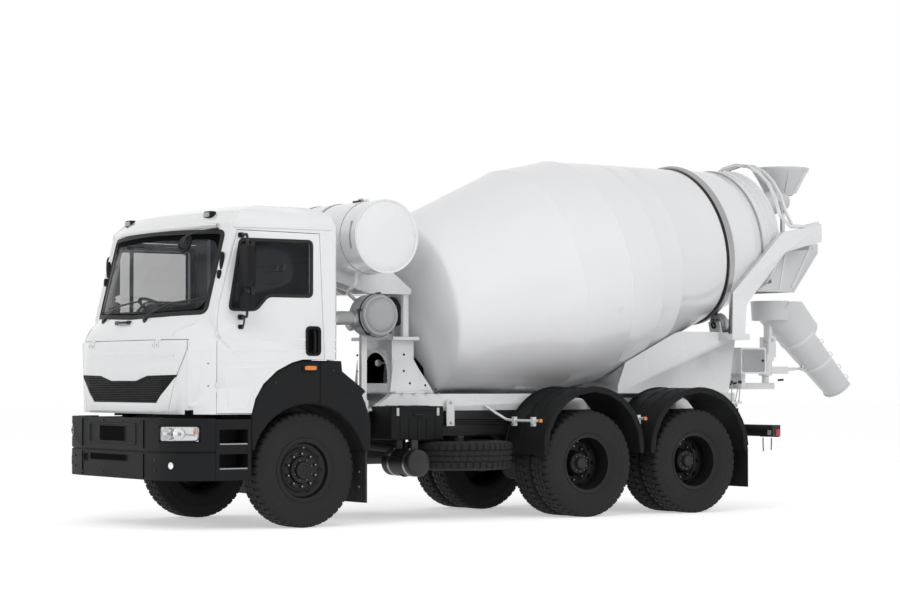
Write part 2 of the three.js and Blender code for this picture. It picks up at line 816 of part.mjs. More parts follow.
function panelBarrels(which, radius, endGap = 0) {
  const bars = panelHinge.places.map((x) => {
    const start = x + which * (hingeLength + seatGap) - endGap;
    const end = start + hingeLength + 2 * endGap;
    return bar([start, panelHinge.y, panelHinge.z], [end, panelHinge.y, panelHinge.z], radius, 10);
  });
  return join(...bars);
}

function addCab() {
  const outer = cabVolume(0, 0);
  const inner = cabVolume(cabFrontWall, cabWall);
  const behindGlass = cabStack(glassInset + glassThickness, glassInset + glassThickness);
  const glassSheet = cut(cabStack(glassInset, glassInset), behindGlass);
  const wallX = cabHalfWidth - cabWall;
  const clear = hingeRadius + 1;
  const endGap = seatGap / 2;

  const doorSlab = common(outer, prismX(doorLine, wallX, cabHalfWidth + 50));
  const window = prismX(doorWindow, wallX - 100, cabHalfWidth + 50);
  const door = join(cut(doorSlab, window, doorBarrels(0, clear, endGap)), doorBarrels(1, hingeRadius));
  const doorSpace = prismX(grown(doorLine, jointGap), wallX - 15, cabHalfWidth + 50);
  const doorHole = cut(doorSpace, doorBarrels(0, hingeRadius));
  const doorGlass = common(glassSheet, prismX(grown(doorWindow, -seatGap), wallX - 30, cabHalfWidth + 10));

  const behindPanel = cabStack(panelThickness, panelThickness);
  const lipEnd = cabLevels[0].front + panelLipDepth;
  const lipTop = cabBottom + panelThickness + 1;
  const behindLip = box(-cabHalfWidth, cabHalfWidth, lipEnd, 0, cabBottom - 50, lipTop);
  const panelSkin = cut(common(outer, prismY(panelLine, -1400, -1000)), cabStack(panelStep, panelStep));
  const panelCore = common(outer, prismY(grown(panelLine, -panelStep), -1400, -1000));
  const panelSlab = cut(join(panelSkin, panelCore), behindPanel, behindLip);
  const grilleDepth = cabStack(12, 12);
  const grille = cut(prismY(grilleLine, -1400, -1000), grilleDepth);
  const panel = join(cut(panelSlab, grille, panelBarrels(0, clear, endGap)), panelBarrels(1, hingeRadius));
  const panelSpace = cabStack(panelThickness + jointGap, panelThickness + jointGap);
  const panelHole = cut(
    prismY(grown(panelOpening, jointGap), -1400, -1000),
    panelSpace,
    panelBarrels(0, hingeRadius),
  );

  const screenHole = prismY(screenLine, -1400, -720);
  const screen = common(glassSheet, prismY(grown(screenLine, -seatGap), -1400, -720));
  const doorSlots = doorBarrels(1, clear, endGap);
  const movingBarrels = [doorSlots, mirrored(doorSlots), panelBarrels(1, clear, endGap)];
  const pivotEnd = pivotInside - seatGap;
  const pivot = bar([330, cabPivot.y, cabPivot.z], [pivotEnd, cabPivot.y, cabPivot.z], cabPivot.radius);
  const lugTop = cabBottom + floorRecess + 5;
  const lug = box(335, pivotEnd, cabPivot.y - 12, cabPivot.y + 12, cabPivot.z, lugTop);
  const shell = cut(outer, inner, doorHole, mirrored(doorHole), panelHole, screenHole, ...movingBarrels);
  add("cab_shell", join(shell, pair(join(pivot, lug))), whitePaint);
  add("front_panel", panel, whitePaint);
  add("windscreen", screen, darkGlass);
  addPair("door", door, whitePaint);
  addPair("door_glass", doorGlass, darkGlass);
}

const steerTilt = THREE.MathUtils.degToRad(30);
const steerWheelCentre = [driverX, -620, 2020];

function addCabInterior() {
  const dashLine = [
    [-1190, 1560],
    [-980, 1560],
    [-800, 1700],
    [-770, 1860],
    [-820, 1925],
    [-1000, 1960],
    [-1190, 1925],
  ];
  const space = cabVolume(cabFrontWall + 0.5, cabWall + 0.5);
  const [x, y, z] = steerWheelCentre;
  const along = [0, Math.sin(steerTilt), Math.cos(steerTilt)];
  const point = (distance) => [x, y - along[1] * distance, z - along[2] * distance];
  const column = bar(point(260), point(25 + seatGap), 32);
  const columnArm = box(x - 40, x + 40, -860, -690, 1765, 1845);
  const besideDoor = cabHalfWidth - cabWall - 2 * jointGap;
  const doorRoom = box(besideDoor, cabHalfWidth, doorLine[0][0] - 2 * jointGap, -600, 1500, 2000);
  const dash = cut(common(prismX(dashLine, -cabHalfWidth, cabHalfWidth), space), pair(doorRoom));
  add("dashboard", join(dash, column, columnArm), greyTrim);

  const rim = new THREE.TorusGeometry(230, 15, 5, 16).rotateX(-steerTilt);
  const hub = turnedZ([[0, -25], [55, -25], [45, 25], [0, 25]], 10).rotateX(-steerTilt);
  const spokes = [0, 120, 240].map((degrees) => {
    const angle = THREE.MathUtils.degToRad(degrees + 90);
    const spoke = box(30, 226, -16, 16, -8, 8).rotateZ(angle);
    return spoke.rotateX(-steerTilt);
  });
  const wheel = join(rim, hub, ...spokes);
  const steeringWheel = new THREE.Mesh(geometryOf(wheel), darkPlastic);
  steeringWheel.name = "steering_wheel";
  steeringWheel.position.set(x, y, z);
  truck.add(steeringWheel);

  const deck = deckHeight + cabWall + seatGap;
  const seatLine = [
    [-330, deck],
    [80, deck],
    [150, 1760],
    [215, 2420],
    [190, 2560],
    [110, 2560],
    [90, 2400],
    [20, 1900],
    [-400, 1880],
    [-430, 1800],
    [-330, 1730],
  ];
  const seat = prismX(seatLine, -250, 250);
  add("seat_driver", moved(seat, driverX, 0, 0), seatCloth);
  add("seat_passenger", moved(seat, -driverX, 0, 0), seatCloth);
}

function addMirrors() {
  const armOut = cabHalfWidth + 125;
  const armY = -725;
  const mount = cabHalfWidth + seatGap;
  const arm = tube(
    [
      [mount, armY, 2655],
      [armOut - 40, armY, 2655],
      [armOut, armY, 2615],
      [armOut, armY, 1955],
      [armOut - 40, armY, 1915],
      [mount, armY, 1915],
    ],
    13,
    14,
    6,
  );
  const head = (inside, outside, z0, z1, corner) => {
    const x0 = cabHalfWidth + inside;
    const x1 = cabHalfWidth + outside;
    const outline = [
      [x0 + corner, z0],
      [x1 - corner, z0],
      [x1, z0 + corner],
      [x1, z1 - corner],
      [x1 - corner, z1],
      [x0 + corner, z1],
      [x0, z1 - corner],
      [x0, z0 + corner],
    ];
    return prismY(outline, armY - 45, armY + 30);
  };
  const heads = [head(42, 230, 2170, 2570, 35), head(35, 230, 1965, 2120, 30)];
  addPair("mirror", join(arm, ...heads), darkPlastic);
}

// --- drum and its stands

// The drum's outer and inner lines as [radius, station along its axis].
const slopeOfCone = (drumFullRadius - mouthRadius) / (mouthStation - drumFullEnd);
const trackConeRadius = drumFullRadius - slopeOfCone * (trackStation - drumFullEnd);
const drumLine = (wall) => [
  [0, 700 + wall],
  [300 - 0.4 * wall, 722 + wall],
  [560 - 0.7 * wall, 775 + wall],
  [760 - wall, 838 + 0.7 * wall],
  [drumHeadRadius - wall, drumHeadStation + 0.5 * wall],
  [drumFullRadius - wall, drumFullStart],
  [drumFullRadius - wall, drumFullEnd],
  [mouthRadius - wall, mouthStation],
];

function addDrum() {
  const outer = drumLine(0);
  const inner = drumLine(drumWall);
  const mouthRim = [
    [mouthRadius + 26, mouthStation - 30],
    [mouthRadius + 26, mouthStation],
  ];
  const coneAt = (station) => drumFullRadius - slopeOfCone * (station - drumFullEnd);
  const low = trackStation - trackWidth / 2;
  const high = trackStation + trackWidth / 2;
  const track = [
    [coneAt(low), low],
    [trackRadius + 12, low],
    [trackRadius + 12, high],
    [coneAt(high), high],
  ];
  const skin = [...outer.slice(0, -1), ...track, [coneAt(mouthStation - 30), mouthStation - 30], ...mouthRim];
  const shell = turnedY([...skin, ...inner.slice().reverse()], drumSides);
  const boss = turnedY([[0, 640], [150, 640], [150, 718], [0, 718]], 20);
  const drum = add("drum_shell", join(shell, boss), whitePaint);
  drum.applyMatrix4(drumMatrix);

  const foot = box(-150, 150, 1420, 1600, pedestalTop + seatGap, 1960);
  const gearbox = turnedY(
    [
      [0, 170],
      [95, 170],
      [95, 380],
      [170, 400],
      [170, 600],
      [150, 640 - seatGap],
      [0, 640 - seatGap],
    ],
    20,
  );
  const gearboxSolid = join(onDrumAxis(gearbox), foot);
  add("drum_gearbox", gearboxSolid, whitePaint);
}

// The space that the turning drum and its clearance take up.
function drumSpace() {
  const line = drumLine(-drumClearance);
  const track = trackRadius + 12 + drumClearance;
  const profile = [
    ...line.slice(0, -1),
    [trackConeRadius + drumClearance + 10, trackStation - 80],
    [track, trackStation - 79],
    [track, trackStation + 79],
    [mouthRadius + 26 + drumClearance, mouthStation - 40],
    [mouthRadius + 26 + drumClearance, mouthStation + drumClearance],
    [0, mouthStation + drumClearance],
  ];
  return onDrumAxis(turnedY(profile, 20));
}

function addSubframe() {
  const inner = railOuterX - railFlange;
  const base = railTop + seatGap;
  const rail = prismX(
    [
      [1150, base],
      [5750, base],
      [5750, subframeTop],
      [1400, subframeTop],
    ],
    inner,
    railOuterX,
  );
  const nose = box(inner, railOuterX + 45, 630, 1140, base, base + 24);
  const noseEnd = box(inner, railOuterX, 1130, 1400, base, base + 24);
  const places = [1560, 2150, 3000, 3950, 4900, 5600];
  const bars = places.map((y) => box(-inner - 5, inner + 5, y - 40, y + 40, base + 10, 1140));
  add("subframe", join(pair(join(rail, nose, noseEnd)), ...bars), whitePaint);
}

const pedestalFront = 1475;
const pedestalRear = 1730;

function addFrontPedestal() {
  const wall = 20;
  const base = subframeTop + seatGap;
  const plate = box(-railOuterX, railOuterX, 1440, 1780, base, base + 25);
  const archway = [[-245, 1320], [245, 1320], ...arc(0, 1390, 245, 0, 180, 10)];
  const column = cut(
    box(-300, 300, pedestalFront, pedestalRear, base, pedestalTop - 20),
    box(-300 + wall, 300 - wall, pedestalFront + wall, pedestalRear - wall, base + 25, pedestalTop - 60),
    prismY(archway, pedestalFront - 10, pedestalFront + wall + 5),
  );
  const cap = box(-390, 390, 1430, 1738, pedestalTop - 35, pedestalTop);
  const gusset = prismX(
    [
      [1725, base],
      [1975, base],
      [1925, 1290],
      [1800, 1450],
      [1725, 1560],
    ],
    270,
    300,
  );
  add("front_pedestal", join(plate, column, cap, pair(gusset)), whitePaint);
}

function addTankStand() {
  const base = pedestalTop + seatGap;
  const shelfZ = 2200;
  const post = box(300, 345, 1580, 1640, base, shelfZ + 10);
  const frontPost = box(railOuterX - 60, railOuterX - 10, 690, 740, railTop + 24 + 2 * seatGap, 2420);
  const saddleLine = [
    [690, 2440],
    [700, 2330],
    [1150, 2190],
    [1640, 2190],
    [1640, 2240],
    [1400, 2420],
    [1320, 2560],
    [1250, 2560],
  ];
  const saddle = prismX(saddleLine, railOuterX - 60, railOuterX - 35);
  const innerSaddle = prismX(saddleLine, 100, 125);
  const shelf = box(-railOuterX + 40, railOuterX - 40, 1150, 1640, shelfZ - 10, shelfZ + 14);
  const frontTie = box(-railOuterX + 40, railOuterX - 40, 700, 740, 2330, 2354);
  const hug = tankRadius + seatGap;
  const hugLine = [[0, -500], [hug, -500], [hug, 500], [0, 500]];
  const tankSpace = moved(turnedX(hugLine, tankSides), 0, tankY, tankZ);
  const side = join(post, frontPost, saddle, innerSaddle);
  add("tank_stand", cut(join(pair(side), shelf, frontTie), tankSpace), whitePaint);
}

function addTankAndCleaner() {
  const tank = turnedX(
    [
      [0, -tankHalfLength - 45],
      [tankRadius * 0.6, -tankHalfLength - 30],
      [tankRadius, -tankHalfLength],
      [tankRadius, tankHalfLength],
      [tankRadius * 0.6, tankHalfLength + 30],
      [0, tankHalfLength + 45],
    ],
    tankSides,
  );
  const filler = bar([500, tankY, tankZ + tankRadius - 20], [500, tankY, tankZ + tankRadius + 30], 60, 10);
  add("water_tank", join(moved(tank, 0, tankY, tankZ), filler), whitePaint);

  const cleanerY = 1050;
  const cleanerZ = 1970;
  const can = turnedX(
    [
      [0, 500],
      [200, 500],
      [200, 760],
      [150, 805],
      [0, 825],
    ],
    20,
  );
  const outlet = tube(
    [
      [640, cleanerY, 1940],
      [640, 700, 1940],
      [640, 500, 1930],
      [610, 410, 1830],
      [500, 390, 1600],
      [400, 390, 1400],
      [300, 390, 1290],
      [290, 390, 1280 + seatGap + 20],
    ],
    60,
    16,
  );
  const postFoot = railTop + 24 + 2 * seatGap;
  const post = box(railOuterX - 4, railOuterX + 41, cleanerY - 30, cleanerY + 30, postFoot, cleanerZ);
  const bracket = box(railOuterX - 4, 510, cleanerY - 60, cleanerY + 60, cleanerZ - 150, cleanerZ + 60);
  const trimmed = cut(outlet, box(100, 700, 200, 600, 1000, 1280 + seatGap));
  add("air_cleaner", join(moved(can, 0, cleanerY, cleanerZ), trimmed, post, bracket), greyTrim);
}

const pedestalHalf = 550;
const rearPedestalLine = [
  [4080, subframeTop + seatGap],
  [5560, subframeTop + seatGap],
  [5660, 1820],
  [5660, 1860],
  [4900, 1860],
  [4240, 1700],
  [4080, 1300],
];

function addRearPedestal() {
  const wall = 25;
  const plateSide = prismX(rearPedestalLine, pedestalHalf - wall, pedestalHalf);
  const base = box(-pedestalHalf, pedestalHalf, 4080, 5560, subframeTop + seatGap, subframeTop + 45);
  const frontLine = [[4080, 1230], [4105, 1230], [4275, 1700], [4245, 1700]];
  const frontPlate = prismX(frontLine, -pedestalHalf, pedestalHalf);
  const middle = box(-pedestalHalf, pedestalHalf, 5400, 5425, subframeTop + 10, 1860);
  const rearLine = [[5530, 1230], [5560, 1230], [5660, 1820], [5635, 1820]];
  const rearPlate = prismX(rearLine, -pedestalHalf, pedestalHalf);
  const topPlate = box(-armX - armHalf, armX + armHalf, 5425, 5660, 1775, 1842);
  const holeHalf = pedestalHalf - 120;
  const holes = [box(-holeHalf, holeHalf, 4300, 5380, subframeTop - 10, subframeTop + 60)];
  holes.push(box(-holeHalf, holeHalf, 5445, 5510, subframeTop - 10, subframeTop + 60));
  const armLine = [
    [5420, 1840],
    [5600, 1838],
    [5620, 2150],
    [6170, 2720],
    [6690, 2850],
    [6690, 3040],
    [6130, 2930],
    [5430, 2270],
  ];
  const arm = prismX(armLine, armX - armHalf, armX + armHalf);
  const cross = box(-armX, armX, 6620, 6670, 2850 + seatGap, 2905);
  const down = (trackRadius + 12 + rollerRadius + seatGap) * Math.cos(rollerAngle);
  const out = (trackRadius + 12 + rollerRadius + seatGap) * Math.sin(rollerAngle);
  const half = rollerWidth / 2 + 8;
  const cheekPlate = (station) => {
    const plate = box(out - 90, out + 90, station, station + 20, -down - 260, -down + 35);
    const pinHole = bar([out, station - 5, -down], [out, station + 25, -down], rollerPinHole, 12);
    return cut(onDrumAxis(plate), onDrumAxis(pinHole));
  };
  const cheeks = join(cheekPlate(trackStation - half - 20), cheekPlate(trackStation + half));
  const hoop = (y) =>
    tube(
      [
        [armX, 6670, 3050],
        [armX, 6360 + 0.3 * (y - 6160), 2995],
        [armX - 4, y + 20, 3040],
        ...arc(0, 2975, armX - 15, 22, 158, 6).map(([x, z]) => [x, y, z]),
        [-armX + 4, y + 20, 3040],
        [-armX, 6360 + 0.3 * (y - 6160), 2995],
        [-armX, 6670, 3050],
      ],
      20,
      16,
      5,
    );
  const swingBeam = box(-70, 70, 5500, swingY + 70, 1250, 1320);
  const swingPost = bar([0, swingY, 1315], [0, swingY, 1560], 40, 16);
  const controlBox = box(150, 420, 5850, 6200, 1420, 1700);
  const boxStay = box(60, 300, 5950, 6010, 1260, 1430);
  const walls = cut(join(pair(plateSide), base, frontPlate, middle, rearPlate), drumSpace(), ...holes);
  const carried = join(walls, pair(arm), topPlate, cross, hoop(6140), hoop(6230));
  const rollerSpace = (side) => {
    const ends = [-half, half].map((offset) => [side * out, trackStation + offset, -down]);
    return onDrumAxis(bar(...ends, rollerRadius + 8, 16));
  };
  const trimmed = cut(carried, rollerSpace(-1), rollerSpace(1));
  add("rear_pedestal", join(trimmed, pair(cheeks), swingBeam, swingPost, controlBox, boxStay), whitePaint);

  const roller = turnedY(
    [
      [0, -half - 22],
      [rollerPinRadius, -half - 22],
      [rollerPinRadius, -rollerWidth / 2],
      [rollerRadius, -rollerWidth / 2],
      [rollerRadius, rollerWidth / 2],
      [rollerPinRadius, rollerWidth / 2],
      [rollerPinRadius, half + 22],
      [0, half + 22],
    ],
    16,
  );
  addPair("roller", solidOf(onDrumAxis(roller.translate(out, trackStation, -down))), bareSteel);
}

function addHoppers() {
  const sideLine = [
    [6110, 2310],
    [6620, 2310],
    [6970, 2750],
    [6970, 2850],
    [6240, 2850],
    [6300, 2480],
    [6110, 2420],
  ];
  const wall = 12;
  const half = 400;
  const block = prismX(sideLine, -half, half);
  const space = prismX(
    [
      [6000, 2250],
      [6608, 2250],
      [6620, 2330],
      [6955, 2755],
      [6955, 2900],
      [6000, 2900],
    ],
    -half + wall,
    half - wall,
  );
  const hanger = box(300, armX - armHalf - seatGap, 6560, 6600, 2760, 2850);
  const hangerCut = box(-half + wall, half - wall, 6500, 6700, 2700, 2900);
  add("discharge_hopper", join(cut(block, space, drumSpace()), pair(cut(hanger, hangerCut))), whitePaint);

  const funnelY = 6790;
  const funnel = (grow, top) =>
    turnedZ(
      [
        [0, 3340],
        [112 + grow, 3340],
        [125 + grow, 3400],
        [310 + grow, 3690],
        [310 + grow, top],
        [0, top],
      ],
      24,
    ).translate(0, funnelY, 0);
  const throat = (radius, extra) => {
    const end = [0, 6090 - extra, 3080 - 0.43 * extra];
    return bar([0, funnelY + 10, 3375], end, radius, 16);
  };
  const outside = join(funnel(12, 3702), throat(137, 0));
  const hollow = join(funnel(0, 3720), throat(125, 20));
  const leg = join(
    box(180, 215, 6625, 6665, 2905 + seatGap, 3215),
    box(90, 215, 6625, 6665, 3180, 3215),
  );
  add("charge_hopper", cut(join(outside, pair(leg)), hollow), whitePaint);
}

const chutePivot = { y: 6600, z: 1790 };
const chuteHoodY = 6680;
const chuteTop = 2222;
const chuteSlope = THREE.MathUtils.degToRad(44); // below level

function addChute() {
  const head = box(-75, 75, swingY - 40, swingY + 60, 1560, 1640);
  const collar = cut(
    join(bar([0, swingY, 1400], [0, swingY, 1600], 75, 16), head),
    bar([0, swingY, 1390], [0, swingY, 1560 + seatGap], 41.5, 16),
  );
  const ear = box(50, 75, 6545, 6650, 1600, chutePivot.z + 35);
  const pinHole = bar([40, chutePivot.y, chutePivot.z], [90, chutePivot.y, chutePivot.z], 19, 12);
  const fork = box(28, 44, swingY + 30, 6860, 1420, 1500);
  const sides = pair(join(cut(ear, pinHole), fork));
  const forkRoot = box(-44, 44, swingY + 60, swingY + 110, 1420, 1500);
  add("chute_post", join(collar, sides, forkRoot), whitePaint);

  const start = [0, 6830, 2080];
  const length = 1130;
  const at = (distance) => [
    0,
    start[1] + Math.cos(chuteSlope) * distance,
    start[2] - Math.sin(chuteSlope) * distance,
  ];
  const trough = (wall) => bar(at(-190), at(length + (wall ? 40 : 0)), 262 - wall, 20, 182 - wall);
  const hoodLine = (wall) => [
    [0, 2010],
    [240 - wall, 2010],
    [252 - wall, chuteTop + (wall ? 10 : 0)],
    [0, chuteTop + (wall ? 10 : 0)],
  ];
  const hood = (wall) => turnedZ(hoodLine(wall), 20).translate(0, chuteHoodY, 0);
  const openTop = box(-300, 300, 330, length + 100, 20, 500);
  openTop.rotateX(-chuteSlope).translate(0, start[1], start[2]);
  const aboveHood = box(-400, 400, 6300, 7600, chuteTop, 2700);
  const body = cut(join(trough(0), hood(0)), trough(chuteWall), hood(chuteWall), openTop, aboveHood);
  const lug = box(-48, 48, chutePivot.y - 24, chutePivot.y + 24, chutePivot.z - 20, 1990);
  const pin = bar([-78, chutePivot.y, chutePivot.z], [78, chutePivot.y, chutePivot.z], 18, 12);
  const eye = box(-20, 20, 7085, 7135, 1450, 1620);
  const jack = bar([0, 6720, 1460], [0, 7110, 1480], 18, 10);
  const lugTrimmed = cut(lug, trough(chuteWall), hood(chuteWall));
  const eyeTrimmed = cut(eye, trough(chuteWall));
  add("chute", join(body, lugTrimmed, pin, eyeTrimmed, jack), whitePaint);
}

addWheels();
addFrontAxle();
addKnuckles();
addRearAxles();
addBogieSprings();
addChassisFrame();
addBumper();
addFrontFenders();
addRearMudguards();
addUnderbody();
addCab();
addCabInterior();
addMirrors();
addSubframe();
addFrontPedestal();
addTankStand();
addTankAndCleaner();
addDrum();
addRearPedestal();
addHoppers();
addChute();

// The origin is the middle of the whole truck's box in plan, at the ground.
truck.updateMatrixWorld(true);
const footprint = new THREE.Box3().setFromObject(truck, true);
truck.position.y = -(footprint.min.y + footprint.max.y) / 2;

export default truck;
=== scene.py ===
"""The looks of a three-axle concrete mixer truck, modelled around its packed construction."""

import logging
import math
from dataclasses import dataclass, field
from enum import Enum
from typing import Callable, Iterable, Sequence

import bmesh
import bpy
from mathutils import Matrix, Vector


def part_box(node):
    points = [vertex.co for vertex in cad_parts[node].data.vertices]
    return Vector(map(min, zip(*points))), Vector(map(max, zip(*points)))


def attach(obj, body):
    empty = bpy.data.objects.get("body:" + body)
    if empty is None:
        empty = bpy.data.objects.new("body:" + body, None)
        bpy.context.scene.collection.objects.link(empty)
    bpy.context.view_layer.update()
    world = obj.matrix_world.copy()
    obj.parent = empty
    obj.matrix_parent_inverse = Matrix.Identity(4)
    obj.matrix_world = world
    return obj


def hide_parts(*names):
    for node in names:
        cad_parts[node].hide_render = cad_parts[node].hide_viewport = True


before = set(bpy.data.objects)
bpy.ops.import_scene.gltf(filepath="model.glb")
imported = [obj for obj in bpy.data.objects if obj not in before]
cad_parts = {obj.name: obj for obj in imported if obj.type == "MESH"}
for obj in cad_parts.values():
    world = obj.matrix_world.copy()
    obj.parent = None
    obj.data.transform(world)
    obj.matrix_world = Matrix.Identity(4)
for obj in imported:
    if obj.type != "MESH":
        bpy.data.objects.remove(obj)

LOG = logging.getLogger("mixer_truck")
Point = Sequence[float]
Profile = Sequence[tuple[float, float]]
X_AXIS = Vector((1.0, 0.0, 0.0))
Y_AXIS = Vector((0.0, 1.0, 0.0))
Z_AXIS = Vector((0.0, 0.0, 1.0))


def middle(node: str) -> Vector:
    """The centre of a construction node's box at rest."""
    low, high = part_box(node)
    return (low + high) / 2


AXLE = middle("tyre_front_left")  # lengths along the truck are counted from the front axle
SIDES = (("left", 1), ("right", -1))
MIX_COLORS = (6, 7)  # the places of the Mix node's two colours among its inputs
JOINED_WITHIN = 2e-5  # corners nearer than this become one


def spot(x: float, y: float, z: float) -> Vector:
    """A point given in metres from the truck's middle line, its front axle and the ground.

    Args:
        x: Distance to the truck's left.
        y: Distance behind the front axle.
        z: Height above the ground.

    Returns:
        The same point in the frame of the whole truck.
    """
    return Vector((x, y + AXLE.y, z))


def spots(*places: Point) -> list[Vector]:
    """Several points, each given as spot takes it."""
    return [spot(*place) for place in places]


def even(first: float, last: float, parts: int) -> list[float]:
    """Evenly spaced values, with both ends among them."""
    return [first + (last - first) * k / parts for k in range(parts + 1)]


# ---------------------------------------------------------------- finishes


class Texture(Enum):
    """The small-scale surface that a finish has."""

    ORANGE_PEEL = "orange peel"
    GRAIN = "moulded grain"
    BRUSHED = "brushed"
    CAST = "cast"
    WEAVE = "weave"
    FLUTES = "lens flutes"
    FINE = "fine"


@dataclass(frozen=True)
class Finish:
    """One surface finish, from its colour to its small-scale relief."""

    name: str
    color: tuple[float, float, float]
    roughness: float
    texture: Texture
    metallic: float = 0.0
    coat: float = 0.0
    spread: float = 0.06
    bump: float = 0.1
    scale: float = 60.0
    alpha: float = 1.0
    specular: float = 0.5

    def material(self) -> bpy.types.Material:
        """The finish as a material, made once."""
        known = bpy.data.materials.get(f"{self.name}_finish")
        if known:
            return known
        made = bpy.data.materials.new(f"{self.name}_finish")
        made.use_nodes = True
        self._wire(made.node_tree)
        made.diffuse_color = (*self.color, self.alpha)
        return made

    def _wire(self, tree: bpy.types.NodeTree) -> None:
        """Joins colour, roughness and relief to the shader.

        Args:
            tree: The new material's node tree.
        """
        nodes, links = tree.nodes, tree.links
        shader = nodes["Principled BSDF"]
        shader.inputs["Metallic"].default_value = self.metallic
        shader.inputs["Coat Weight"].default_value = self.coat
        shader.inputs["Coat Roughness"].default_value = 0.06
        shader.inputs["Alpha"].default_value = self.alpha
        shader.inputs["Specular IOR Level"].default_value = self.specular
        where = nodes.new("ShaderNodeTexCoord").outputs["Object"]
        stretch = nodes.new("ShaderNodeMapping")
        stretch.inputs["Scale"].default_value = self._stretch()
        links.new(where, stretch.inputs["Vector"])
        broad = nodes.new("ShaderNodeTexNoise")
        broad.inputs["Scale"].default_value = 2.3
        broad.inputs["Detail"].default_value = 5.0
        links.new(where, broad.inputs["Vector"])
        tone = nodes.new("ShaderNodeMix")
        tone.data_type = "RGBA"
        for place, factor in zip(MIX_COLORS, (1.0 - self.spread, 1.0 + self.spread / 2)):
            shade = [min(1.0, channel * factor) for channel in self.color]
            tone.inputs[place].default_value = (*shade, 1.0)
        links.new(broad.outputs["Fac"], tone.inputs["Factor"])
        links.new(tone.outputs[2], shader.inputs["Base Color"])
        gloss = nodes.new("ShaderNodeMapRange")
        gloss.inputs["To Min"].default_value = max(0.02, self.roughness - 0.07)
        gloss.inputs["To Max"].default_value = min(1.0, self.roughness + 0.09)
        links.new(broad.outputs["Fac"], gloss.inputs["Value"])
        links.new(gloss.outputs["Result"], shader.inputs["Roughness"])
        relief = nodes.new("ShaderNodeBump")
        relief.inputs["Strength"].default_value = self.bump
        relief.inputs["Distance"].default_value = 0.002
        links.new(self._height(tree, stretch.outputs["Vector"]), relief.inputs["Height"])
        links.new(relief.outputs["Normal"], shader.inputs["Normal"])

    def _stretch(self) -> tuple[float, float, float]:
        """How the relief is stretched along each axis."""
        return (1.0, 0.12, 1.0) if self.texture is Texture.BRUSHED else (1.0, 1.0, 1.0)

    def _height(self, tree: bpy.types.NodeTree, where: bpy.types.NodeSocket) -> bpy.types.NodeSocket:
        """The relief's height field.

        Args:
            tree: The material's node tree.
            where: The coordinates that the relief is drawn in.

        Returns:
            The socket that carries the height.
        """
        kinds = {
            Texture.WEAVE: "ShaderNodeTexVoronoi",
            Texture.GRAIN: "ShaderNodeTexVoronoi",
            Texture.FLUTES: "ShaderNodeTexWave",
        }
        made = tree.nodes.new(kinds.get(self.texture, "ShaderNodeTexNoise"))
        made.inputs["Scale"].default_value = self.scale
        if "Detail" in made.inputs:
            made.inputs["Detail"].default_value = 6.0 if self.texture is Texture.CAST else 2.0
        tree.links.new(where, made.inputs["Vector"])
        return made.outputs["Distance" if "Distance" in made.outputs else "Fac"]


WHITE = Finish(
    "white_paint", (0.82, 0.83, 0.84), 0.26, Texture.ORANGE_PEEL, coat=0.6, spread=0.03, bump=0.03, scale=260
)
CAB_WHITE = Finish(
    "cab_paint", (0.81, 0.82, 0.83), 0.2, Texture.ORANGE_PEEL, coat=0.9, spread=0.02, bump=0.02, scale=300
)
DRUM_WHITE = Finish(
    "drum_paint", (0.84, 0.845, 0.86), 0.3, Texture.ORANGE_PEEL, coat=0.5, spread=0.03, bump=0.16, scale=5
)
# A duller, darker white: partly wear on surfaces that concrete runs over, partly painted shade that darkens
# the drum's inside and the hoppers' shadowed sides.
WORN_AND_SHADED_WHITE = Finish(
    "chute_paint", (0.72, 0.73, 0.74), 0.36, Texture.CAST, coat=0.3, spread=0.1, bump=0.08, scale=40
)
PLASTIC = Finish(
    "dark_plastic", (0.011, 0.0115, 0.0125), 0.58, Texture.GRAIN, spread=0.12, bump=0.25, scale=420,
    specular=0.16,
)
GREY_PLASTIC = Finish("grey_trim", (0.045, 0.047, 0.05), 0.6, Texture.GRAIN, spread=0.1, bump=0.2, scale=420)
BLACK = Finish(
    "black_paint", (0.009, 0.009, 0.01), 0.42, Texture.ORANGE_PEEL, spread=0.15, bump=0.06, scale=180
)
ENAMEL = Finish(
    "wheel_enamel", (0.009, 0.009, 0.01), 0.42, Texture.CAST, specular=0.3, spread=0.15, bump=0.12, scale=70
)
TYRE = Finish("tyre_rubber", (0.011, 0.011, 0.0115), 0.82, Texture.FINE, spread=0.2, bump=0.2, scale=300)
RUBBER = Finish("soft_rubber", (0.012, 0.012, 0.012), 0.7, Texture.FINE, spread=0.2, bump=0.15, scale=220)
STEEL = Finish(
    "bare_steel", (0.42, 0.42, 0.42), 0.38, Texture.BRUSHED, metallic=1.0, spread=0.2, bump=0.2, scale=90
)
ZINC = Finish(
    "zinc_plate", (0.5, 0.5, 0.48), 0.32, Texture.FINE, metallic=1.0, spread=0.15, bump=0.1, scale=200
)
CAST = Finish(
    "cast_iron", (0.035, 0.035, 0.037), 0.66, Texture.CAST, metallic=0.3, spread=0.25, bump=0.5, scale=110
)
CHROME = Finish(
    "reflector", (0.85, 0.86, 0.87), 0.08, Texture.FINE, metallic=1.0, spread=0.03, bump=0.03, scale=60
)
MIRROR = Finish(
    "mirror_face", (0.8, 0.82, 0.84), 0.04, Texture.FINE, metallic=1.0, spread=0.02, bump=0.01, scale=20
)
CLOTH = Finish("seat_cloth", (0.05, 0.054, 0.062), 0.9, Texture.WEAVE, spread=0.2, bump=0.5, scale=380)
GLASS = Finish(
    "dark_glass", (0.016, 0.024, 0.034), 0.05, Texture.FINE, spread=0.1, bump=0.01, scale=3, alpha=0.24,
    specular=0.5,
)
LENS = Finish(
    "clear_lens", (0.75, 0.77, 0.78), 0.06, Texture.FLUTES, spread=0.03, bump=0.12, scale=30, alpha=0.3,
    specular=0.9,
)
AMBER = Finish(
    "amber_lens", (0.75, 0.22, 0.02), 0.2, Texture.FLUTES, coat=0.6, spread=0.12, bump=0.2, scale=60
)
